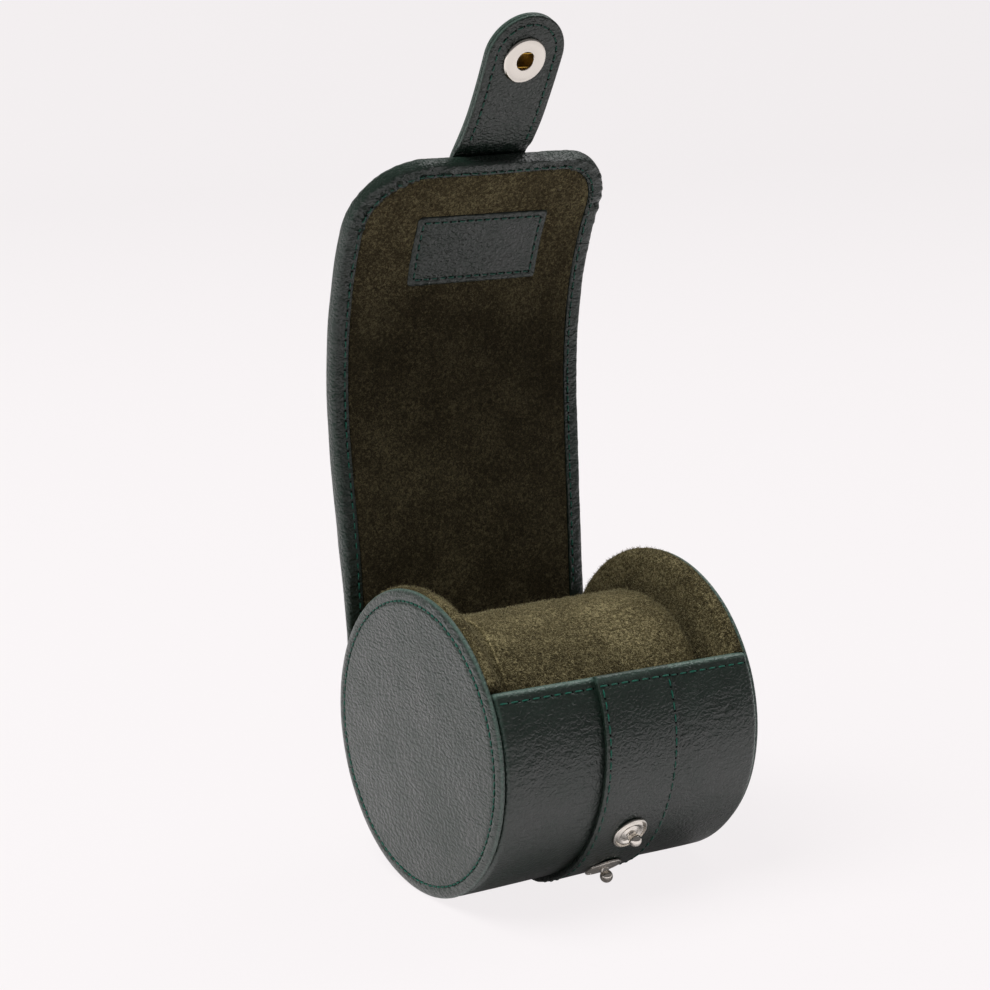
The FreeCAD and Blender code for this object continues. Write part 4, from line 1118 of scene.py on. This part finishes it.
def strapLine():
    look = strap
    onFlap = flapPath["s"] <= flapEnd
    base = flapPath["outer"][onFlap]
    spots = [flapEnd + at * mm for at, lean in look["tabLeans"]]
    spots[-1] = flapEnd + look["tabLength"]
    sTab, lineTab, _ = runLine(base[-1], spots, [lean for at, lean in look["tabLeans"]], look["blur"])
    s = np.concatenate([flapPath["s"][onFlap], sTab[1:]])
    line = np.concatenate([base, lineTab[1:]])
    way = np.gradient(line, s, axis=0)
    way /= np.linalg.norm(way, axis=1, keepdims=True)
    kernel = np.ones(25) / 25
    way = np.stack([np.convolve(np.pad(column, 12, mode="edge"), kernel, "valid") for column in way.T],
                   axis=-1)
    out = np.stack([way[:, 1], -way[:, 0]], axis=-1)
    out /= np.linalg.norm(out, axis=1, keepdims=True)
    onTab = ease(s, flapEnd - 2 * mm, flapEnd)
    low, high = look["recessTo"]  # the tab's lining ends a little above the flap's edge
    sunk = look["sink"] * (1 - onTab) - look["recess"] * onTab * (1 - ease(s, flapEnd + low, flapEnd + high))
    thicker = look["tabThickness"] - look["thickness"]
    thick = look["thickness"] + thicker * ease(s, flapEnd - 14 * mm, flapEnd)
    return {"s": s, "inner": line - out * sunk[:, None], "outer": line + out * thick[:, None],
            "start": s[0], "end": s[-1]}


strapPath = strapLine()
strapPath.update(middle=bandMiddle, flare=-strap["tipTaper"],
                 flareRange=(flapEnd + 10 * mm, strapPath["end"]),
                 sway=((flapEnd - 45 * mm, flapEnd, strapPath["end"]), (0, *strap["sway"])))
strapShape = {"half": bandHalf, "corner": bandHalf - 0.05 * mm, "rightCorner": bandHalf - 0.05 * mm,
              "end": strapPath["end"], "keep": 6 * mm, "crest": 8 * mm, "x": bandMiddle, "rightRise": 0.0,
              "sideBorder": 0.0}


def strapRings(double):  # a double strap has a seam line between its two layers
    edge = strap["round"]
    insides = stepsTo(edge, bandHalf, 0.45 * mm, 1.2 * mm, 4 * mm)
    turns = [(math.sin(turn), math.cos(turn)) for turn in np.radians(np.linspace(0, 90, 6)[1:])]
    rings = [(inside, 0.0, 0.0, 0.0, -1.0) for inside in insides[::-1]]
    rings += [(edge * (1 - out), 0.0, edge * 0.8 * (1 - up), out, -up) for out, up in turns]
    if double:
        rings += [(0.03 * mm, 0.42, 0.0, 1.0, 0.0), (0.22 * mm, 0.46, 0.0, 0.0, 0.0),
                  (0.03 * mm, 0.5, 0.0, 1.0, 0.0)]
    rings += [(edge * (1 - out), 1.0, -edge * 0.8 * (1 - up), out, up) for out, up in turns[::-1]]
    return rings + [(inside, 1.0, 0.0, 0.0, 1.0) for inside in insides]


def strapRelief(run, spots, inside, share, upwards):
    look = strap
    sewnIn = np.where(spots[:, 1] > flapEnd, look["tabSewnIn"], look["sewnIn"])
    pucker = puckerAt(inside - sewnIn, look["puckerWide"], run, look["pitch"]) * (abs(upwards) > 0.9)
    shown = 1.0 if share > 0.5 else ease(spots[:, 1], flapEnd - 1 * mm, flapEnd + 3 * mm)
    return look["swell"] * softNoise(spots / look["swellSize"], 51) - look["pucker"] * pucker * shown


tabBend = flapEnd + float(np.linalg.norm(pivots["tab_curl_2"] - pivots["tab_curl"]))
strapCuts = flapCuts[:-1] + [flapEnd - 6 * mm, (flapEnd + tabBend) / 2, strapPath["end"]]


def joinStrap(piece, part):  # parts 1 to 6 are joined as the flap's parts; 7 and 8 are left in place
    if part <= 6:
        return joinBodies(piece, part)
    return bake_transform(piece)


snap = {"ring": 6.2 * mm, "high": 0.75 * mm, "bore": 3.2 * mm, "deep": 3.1 * mm, "mouth": 2.5 * mm,
        "plate": 0.4 * mm, "chamber": 4.2 * mm, "cap": 6.25 * mm, "capHigh": 1.8 * mm, "capEdge": 0.55 * mm,
        "wire": 0.28 * mm, "apart": 3.7 * mm, "bow": 0.12 * mm, "down": 16.0 * mm, "aside": -0.8 * mm}


def snapPlace():  # middle of the socket on the tab's inner face, and the way out of its outer face
    s = tabBend + snap["down"]
    inner, outer = lineAt(strapPath, "inner", s), lineAt(strapPath, "outer", s)
    out = Vector((0, *(outer - inner))).normalized()
    spot = Vector((bandMiddle + snap["aside"], *inner))
    turn = Matrix((Vector((1, 0, 0)), out.cross(Vector((1, 0, 0))), out)).transposed().to_4x4()
    return Matrix.Translation(spot) @ turn


def boreTab(piece):  # the hole behind the socket, where the ball goes
    radius, depth = snap["bore"], strap["tabThickness"]
    profile = [(0.0, -depth), (radius, -depth), (radius, 2 * depth), (0.0, 2 * depth)]
    drill = turnPiece("drill", profile, 48, flapLeather, snapPlace())
    cut = piece.modifiers.new("bore", "BOOLEAN")
    cut.operation, cut.solver, cut.object = "DIFFERENCE", "EXACT", drill
    makePlain(piece)
    bpy.data.objects.remove(drill)


def sideways(piece):  # 1 on the cut edges of the tab, 0 on its two faces
    out = np.array(snapPlace().col[2][:3])
    return 1 - ease(np.abs(pointsOf(piece, "normal") @ out), 0.3, 0.75)


def makeStrap():
    for part in range(1, 9):
        onTab = part > 6
        sFrom, sTo = strapCuts[part - 1], strapCuts[part]
        grids = ringGrid(strapPath, strapShape, strapRings(onTab), sFrom, sTo, part == 8, strapRelief,
                         strap["step"])
        piece = ringPiece(f"tab_part_{part - 6}" if onTab else f"strap_part_{part}", grids, flapLeather)
        if part == 8:
            boreTab(piece)
        edge = ease(np.abs(pointsOf(piece)[:, 0] - bandMiddle), bandHalf - 0.7 * mm, bandHalf)
        # painted highlight on the tab's cut edges; the strap's edges are rubbed wear
        setValues(piece, "wearAndHighlight", strap["tabWear"] * sideways(piece) if onTab else strap["wearAndHighlight"] * edge)
        if onTab:
            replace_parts(piece, f"tab_lining_{part - 6}", f"tab_outer_{part - 6}")
        elif part < 6:
            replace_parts(piece, f"flap_band_{part}")
        joinStrap(piece, part)


makeStrap()


# Strap round the roll, from the front lip underneath to the back

def bandSection():  # across and height over the wall, with rounded upper edges and sides tucked under
    edge, high, tuck = strap["round"], strap["thickness"], strap["tuck"]
    half = [(-bandHalf + tuck, -0.1 * mm), (-bandHalf + 0.8 * tuck, 0.4 * mm), (-bandHalf, high - edge)]
    half += roundArc((-bandHalf + edge, high - edge), edge, 180, 90, 7)[1:]
    insides = stepsTo(edge + 0.4 * mm, bandHalf, 0.4 * mm, 1.5 * mm, 4 * mm)
    half += [(inside - bandHalf, high) for inside in insides]
    return np.array(half + [(-x, h) for x, h in half[-2::-1]])


def bandDrift(angle):  # the strap wanders a little to the left below the lip
    return strap["drift"] * ease(angle, 152, 212) * (1 - ease(angle, 250, 350))


def makeBand():
    look = strap
    across, height = [column[None, :] for column in bandSection().T]
    tip = math.degrees(1.0 * mm / rollRadius)
    lip, last = wall["frontLip"] + 0.35, 360 + flap["leaveWall"]
    angles = np.concatenate([lip + tip * np.array([0, 0.1, 0.3, 0.6]), np.arange(lip + tip, last, 1.0),
                             [last]])[:, None]
    run = np.radians(angles - wall["frontLip"]) * rollRadius
    sewn = puckerAt(np.abs(across) - (bandHalf - look["sewnIn"]), look["puckerWide"], run, look["pitch"])
    sewn = sewn * ease(run, 2.5 * mm, 3.5 * mm) + np.exp(-((run - wall["sewnDown"]) / (0.5 * mm)) ** 2)
    wide, tall = look["rollSwellSize"]
    swell = look["rollSwell"] * np.minimum(noiseAt(61, across / wide, run / tall), 0)
    lowered = np.where(height > look["thickness"] - 0.05 * mm, swell - look["pucker"] * sewn, 0)
    close = np.clip(1 - (angles - lip) / tip, 0, 1)
    raised = height * np.where(height > 0, np.sqrt(np.clip(1 - close ** 2, 0.02, 1)), 1) + lowered
    x = bandMiddle + across + bandDrift(angles)
    points = onRoll(angles - lipShift(x, angles), rollRadius + raised, x)
    points[..., 2] = np.maximum(points[..., 2], 0.0)
    rows, columns = points.shape[:2]
    loop = np.concatenate([points, points[:, :1]], axis=1).reshape(-1, 3)
    caps = [list(range(columns)), [(rows - 1) * (columns + 1) + c for c in range(columns)][::-1]]
    piece = makePiece("roll_strap", loop, gridFaces(rows, columns + 1) + caps, wallLeather, 55)
    spots = pointsOf(piece)
    edge = ease(np.abs(spots[:, 0] - bandMiddle), bandHalf - 0.8 * mm, bandHalf)
    atLip = 1 - ease(np.abs(turnOnRoll(spots) - lip), 0.5, 2.0)
    # the pale line at the lip is partly wear and partly painted highlight
    setValues(piece, "wearAndHighlight", look["rollWear"] * edge + look["lipWear"] * atLip)
    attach(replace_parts(piece, "front_band"), "roll")


makeBand()
print("strap and tab made")


# Rows of stitches

def sampleRow(points, values, pitch):  # even spots on a line of points, their directions, and values there
    run = np.concatenate([[0], np.cumsum(np.linalg.norm(np.diff(points, axis=0), axis=1))])
    count = max(1, int(run[-1] / pitch))
    spots = (np.arange(count) + 0.5) * run[-1] / count

    def at(given, where):
        return np.stack([np.interp(where, run, column) for column in given.T], axis=-1)

    way = at(points, np.minimum(spots + 0.2 * mm, run[-1])) - at(points, np.maximum(spots - 0.2 * mm, 0))
    return at(points, spots), way / np.linalg.norm(way, axis=1, keepdims=True), at(values, spots)


def sheetRow(path, shape, inside, share, sFrom, pitch):  # a row round a sheet's end, on one face
    spots = outlineRow(shape, inside, sFrom, (400, 60, 120))[0]
    x, s = spots[:, 0] + shape["x"], spots[:, 1]
    face = 1 if share > 0.5 else -1
    points = sheetPoint(path, x, s, share, -face * stitch["sunk"])
    under = sheetPoint(path, x, s, share, -face * (stitch["sunk"] + mm))
    centre, way, values = sampleRow(points, np.column_stack([(points - under) / mm, s]), pitch)
    return centre, way, values[:, :3], values[:, 3]


def sewSheet(name, rows, cuts, join, length):  # one mesh of stitches for each part of a sheet
    for part in range(1, len(cuts)):
        chosen = []
        for *row, s in rows:
            inPart = (s >= cuts[part - 1]) & (s < cuts[part])
            if inPart.any():
                chosen.append([values[inPart] for values in row])
        if chosen:
            join(sew(f"{name}_{part}", chosen, length), part)


def sewRoll():
    look = wall
    sewn = look["frontLip"] + math.degrees(look["sewnDown"] / rollRadius)
    xs = np.linspace(-wallHalf + 0.8 * mm, wallHalf - 0.8 * mm, 400)
    onBand = np.abs(xs - bandMiddle) < bandHalf
    radius = rollRadius + np.where(onBand, strap["thickness"], wallFull(xs, 150)) - 0.12 * mm
    rows = []
    for chosen in (xs < bandX[0], onBand, xs > bandX[1]):
        line = onRoll(sewn - lipShift(xs[chosen], 150), radius[chosen], xs[chosen])
        rows.append(sampleRow(line, np.tile(outOfRoll(sewn), (len(line), 1)), look["pitch"]))
    angles = np.linspace(sewn + 0.6, 360 + flap["leaveWall"], 1200)
    for side in (-1, 1):
        x = bandMiddle + side * (bandHalf - strap["sewnIn"]) + bandDrift(angles)
        line = onRoll(angles - lipShift(x, angles), rollRadius + strap["thickness"] - 0.1 * mm, x)
        row = sampleRow(line, outOfRoll(angles), strap["pitch"])
        free = row[0][:, 2] > 0.35 * mm
        rows.append([values[free] for values in row])
    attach(sew("roll_stitches", rows, look["pitch"] * stitch["share"]), "roll")


def sewFlap():
    look = flap
    rows = [sheetRow(flapPath, flapShape, look["sewnIn"], share, look["sewnFrom"], look["pitch"])
            for share in (0.0, 1.0)]
    sewSheet("flap_stitches", rows, flapCuts, joinBodies, look["pitch"] * stitch["share"])


def sewStrap():
    look = strap
    lowest = flapEnd + look["recessTo"][1] + 0.4 * mm
    faces = (1.0, strapPath["start"], look["pitch"]), (0.0, lowest, look["tabPitch"])
    rows = [sheetRow(strapPath, strapShape, look["tabSewnIn"], *face) for face in faces]
    sewSheet("strap_stitches", rows, strapCuts, joinStrap, look["tabPitch"] * stitch["share"])


sewRoll()
sewFlap()
sewStrap()
print("stitches made")


# Label patch sewn on the lining
def makeLabel():
    look = label
    half, tall, sewn = look["width"] / 2, look["height"], look["sewnIn"]
    ends = np.array([0, 0.12, 0.3, 0.6, 1.08]) * mm
    xs, ss = [np.concatenate([low + ends, np.arange(low + 1.5 * mm, high - 1.4 * mm, look["step"]),
                              (high - ends)[::-1]]) for low, high in ((-half, half), (0.0, tall))]
    x, s = np.meshgrid(xs, ss, indexing="ij")
    near = np.minimum(half - np.abs(x), np.minimum(s, tall - s))
    rim = np.clip(1 - near / look["edge"], 0, 0.99)
    rise = look["proud"] - look["drop"] * (1 - np.sqrt(1 - rim ** 2))
    rise = rise - look["groove"] * np.exp(-((near - sewn) / (0.5 * mm)) ** 2)
    reach = look["corner"]  # the four corners are cut round
    up = s - tall / 2
    u = np.clip((np.abs(x) - half + reach) / reach, 0, 1)
    v = np.clip((np.abs(up) - tall / 2 + reach) / reach, 0, 1)
    x = np.sign(x) * (np.abs(x) - reach * u * (1 - np.sqrt(1 - v * v / 2)))
    up = np.sign(up) * (np.abs(up) - reach * v * (1 - np.sqrt(1 - u * u / 2)))
    top, bottom = [sheetPoint(flapPath, bandMiddle + x, labelStart + tall / 2 + up, 0.0, depth)
                   for depth in (-rise, look["under"])]
    piece = closeSheet("label_patch_leather", top, bottom, flapLeather)
    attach(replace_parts(piece, "label_patch"), "flap_panel_5")
    corners = np.array([(-half + sewn, sewn), (half - sewn, sewn), (half - sewn, tall - sewn),
                        (-half + sewn, tall - sewn)])
    rows = []
    for a, b in zip(corners, np.roll(corners, -1, axis=0)):
        x, s = (a + (b - a) * np.linspace(0, 1, 120)[:, None]).T
        points, above = [sheetPoint(flapPath, bandMiddle + x, labelStart + s, 0.0, depth - look["proud"])
                         for depth in (0.2 * mm, -0.8 * mm)]
        rows.append(sampleRow(points, (above - points) / mm, look["pitch"]))
    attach(sew("label_stitches", rows, look["pitch"] * stitch["share"], look["thread"]), "flap_panel_5")


makeLabel()


# Snap fastener: two ball studs on the strap, and a sprung socket and cap on the tab

studs = {"flange": 5.0 * mm, "flangeHigh": 0.8 * mm, "neck": 1.2 * mm, "ball": 1.7 * mm, "ballHigh": 2.9 * mm}


def studProfile():
    look = studs
    wide, high = look["flange"], look["flangeHigh"]
    rows = [(0.0, 0.0), (wide - 0.2 * mm, 0.0), (wide, 0.12 * mm)]
    rows += roundArc((wide - 0.35 * mm, 0.4 * mm), 0.35 * mm, -20, 100, 8)
    for share in np.linspace(0, 1, 30):  # two turned rings between rim and neck
        r = wide - 0.55 * mm - share * (wide - 2.2 * mm)
        rows.append((r, high - 0.26 * mm - 0.24 * mm * math.cos(share * 3 * math.pi) + 0.18 * mm * share))
    rows += [(look["neck"] + 0.12 * mm, high + 0.2 * mm), (look["neck"], high + 0.5 * mm)]
    lowest = math.degrees(math.acos(look["neck"] / look["ball"]))
    rows += roundArc((0, look["ballHigh"]), look["ball"], -lowest, 90, 16)
    return rows[:-1] + [(0.0, look["ballHigh"] + look["ball"])]


def makeStuds():
    spots = np.array([v.co for v in frame["nodes"]["closing_studs"].data.vertices])
    angles = turnOnRoll(spots)
    groups = [spots[angles < angles.mean()], spots[angles >= angles.mean()]]
    for name, group in zip(("upper_stud", "lower_stud"), groups):
        middle = (group.min(axis=0) + group.max(axis=0)) / 2
        out = Vector((0, middle[1], middle[2] - axisHeight)).normalized()
        foot = Vector((bandMiddle + snap["aside"], 0, axisHeight)) + out * (rollRadius + strap["thickness"])
        turn = Vector((0, 0, 1)).rotation_difference(out).to_matrix().to_4x4()
        piece = turnPiece(name, studProfile(), 72, nickel, Matrix.Translation(foot) @ turn)
        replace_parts(piece, "closing_studs", "stud_rivets")
        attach(piece, "roll")


def socketProfile():  # a ring with a beaded rim and a rolled mouth
    look = snap
    ring, mouth, face = look["ring"], look["mouth"], -look["high"]
    back = face + look["plate"]
    rows = [(look["chamber"], 0.0), (look["chamber"], back), (mouth + 0.15 * mm, back)]
    rows += roundArc((mouth + 0.24 * mm, face + 0.2 * mm), 0.24 * mm, 90, 270, 9)[1:]
    rows += [(mouth + 0.3 * mm + share * (ring - mouth - 1.3 * mm),
              face + 0.1 * mm * math.sin(share * math.pi))
             for share in np.linspace(0, 1, 9)[1:-1]]  # slightly hollow between mouth and rim
    rows += roundArc((ring - 0.65 * mm, face + 0.53 * mm), 0.65 * mm, 245, 360, 13)
    return rows + [(ring, -0.1 * mm), (ring - 0.1 * mm, 0.0), rows[0]]


def wellProfile():  # the dark cup behind the mouth
    wide, low, thin = snap["bore"] - 0.02 * mm, -snap["high"] + snap["plate"] + 0.03 * mm, 0.12 * mm
    deep = snap["deep"]
    return [(0.0, deep), (wide, deep), (wide, low), (wide - thin, low), (wide - thin, deep - thin),
            (0.0, deep - thin)]


def capProfile(base):
    look = snap
    wide, hollow, inside, edge = look["cap"], look["bore"] + 0.05 * mm, base + 0.7 * mm, look["capEdge"]
    rows = [(0.0, inside), (hollow, inside), (hollow, base)]
    rows += roundArc((wide - 0.3 * mm, base + 0.3 * mm), 0.3 * mm, -90, 40, 8)
    rise = look["capHigh"] - edge
    return rows + [((wide - 0.35 * mm) * (1 - share), base + edge + rise * (1 - (1 - share) ** 2.2))
                   for share in np.linspace(0, 1, 24)[1:]]


def makeWires(place):  # two spring wires beside the mouth, each bowed out a little at its middle
    look = snap
    reach = 0.97 * math.sqrt(look["chamber"] ** 2 - (look["apart"] / 2) ** 2)
    rows, columns = 17, 11
    share, turn = np.linspace(-1, 1, rows)[:, None], np.linspace(0, 2 * math.pi, columns)[None, :]
    level = look["plate"] - look["high"] + look["wire"] * (1 + np.sin(turn))
    points, faces = [], []
    for side in (-1, 1):
        start = rows * columns * len(points)
        end = start + (rows - 1) * columns
        across = side * (look["apart"] / 2 + look["bow"] * (1 - share ** 2)) + look["wire"] * np.cos(turn)
        points.append(np.stack(np.broadcast_arrays(share * reach, across, level), axis=-1))
        faces += gridFaces(rows, columns, start)
        faces += [list(range(start, start + columns - 1))[::-1], list(range(end, end + columns - 1))]
    wires = makePiece("socket_wires", np.array(points).reshape(-1, 3), faces, brass)
    wires.data.transform(place)
    return wires


def makeSnap():
    place = snapPlace()
    socket = turnPiece("socket_ring", socketProfile(), 96, nickel, place)
    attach(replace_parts(socket, "snap_socket"), "tab_end")
    well = turnPiece("socket_well", wellProfile(), 64, oldBrass, place)
    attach(well, "tab_end")
    cap = turnPiece("snap_cap_dome", capProfile(strap["tabThickness"] - 0.05 * mm), 96, nickel, place)
    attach(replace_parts(cap, "snap_cap"), "tab_end")
    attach(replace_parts(makeWires(place), "snap_spring"), "tab_end")


makeStuds()
makeSnap()
print("snap fastener made")


# Stage, light and camera

stage = {"floor": "#f7f3f4", "bounce": "#8f8c8c", "glow": 0.92, "mirrored": 0.1, "floorHalf": 12.0,
         "wallBehind": 2.2, "wallHigh": 3.0, "cove": 0.4, "sky": 0.2}
camera = {"place": (-331.63 * mm, -486.08 * mm, 231.91 * mm), "azimuth": -33.006, "elevation": 12.587,
          "lens": 84.56, "sensor": 36.0}
lamps = {
    "overhead": {"place": (-1.0, 0.15, 1.75), "size": 1.5, "power": 55.0, "glints": False},
    "upRight": {"place": (0.9, 0.2, 1.3), "size": 1.0, "power": 6.0, "glints": True},
}
lampTarget = Vector((0, 0, 0.07))


# Painted studio cove: plain pale matt, seen pale by the camera and in reflections, with the shadow kept
def makeBackdrop():
    look = stage
    material, tree, shader = newMaterial("paintedCove")
    path = addNode(tree, "ShaderNodeLightPath").outputs
    shiny = addNode(tree, "ShaderNodeMath", {
        0: path["Is Glossy Ray"], 1: path["Is Transmission Ray"]}, operation="MAXIMUM")
    seen = addNode(tree, "ShaderNodeMath", {0: path["Is Camera Ray"], 1: shiny}, operation="MAXIMUM")
    paint = addNode(tree, "ShaderNodeMix", {
        "Factor": seen, "A": hexColour(look["bounce"]), "B": hexColour(look["floor"])}, data_type="RGBA")
    setInputs(shader, {"Base Color": paint, "Roughness": 0.9, "Specular IOR Level": 0.0})
    faint = addNode(tree, "ShaderNodeMath", {0: shiny, 1: look["mirrored"]}, operation="MULTIPLY")
    share = addNode(tree, "ShaderNodeMath", {
        0: path["Is Camera Ray"], 1: look["glow"], 2: faint}, operation="MULTIPLY_ADD")
    glow = addNode(tree, "ShaderNodeEmission", {"Color": hexColour(look["floor"]), "Strength": 1.0})
    mixed = addNode(tree, "ShaderNodeMixShader", {0: share, 1: shader, 2: glow})
    setInputs(tree.nodes["Material Output"], {"Surface": mixed})
    return material


def makeStage():
    look = stage
    half, back, bend = look["floorHalf"], look["wallBehind"], look["cove"]
    rows = [(-half, 0.0)] + roundArc((back - bend, bend), bend, -90, 0, 12) + [(back, look["wallHigh"])]
    points = [(x, y, z) for y, z in rows for x in (-half, half)]
    makePiece("pale_floor", points, gridFaces(len(rows), 2), makeBackdrop(), 30)


def makeLight():
    world = bpy.data.worlds.new("studio")
    world.use_nodes = True
    tree = world.node_tree
    seen = addNode(tree, "ShaderNodeLightPath").outputs["Is Camera Ray"]
    level = addNode(tree, "ShaderNodeMapRange", {"Value": seen, "To Min": stage["sky"], "To Max": 1.0})
    setInputs(tree.nodes["Background"], {"Color": hexColour(stage["floor"]), "Strength": level})
    bpy.context.scene.world = world
    for name, look in lamps.items():
        data = bpy.data.lights.new(name, "AREA")
        data.shape, data.size, data.energy = "DISK", look["size"], look["power"]
        lamp = addObject(name, data)
        lamp.location = look["place"]
        lamp.visible_glossy = look["glints"]
        lamp.rotation_euler = (lampTarget - lamp.location).to_track_quat("-Z", "Y").to_euler()


def makeCamera():
    look = camera
    data = bpy.data.cameras.new("photoView")
    data.lens, data.sensor_width = look["lens"], look["sensor"]
    data.clip_start, data.clip_end = 0.01, 20.0
    view = addObject("photoView", data)
    turn, rise = math.radians(look["azimuth"]), math.radians(look["elevation"])
    back = Vector((math.sin(turn) * math.cos(rise), -math.cos(turn) * math.cos(rise), math.sin(rise)))
    view.location = look["place"]
    view.rotation_euler = (-back).to_track_quat("-Z", "Y").to_euler()
    bpy.context.scene.camera = view


makeStage()
makeLight()
makeCamera()
bpy.context.scene.view_settings.view_transform = "Standard"
print("stage, light and camera made")
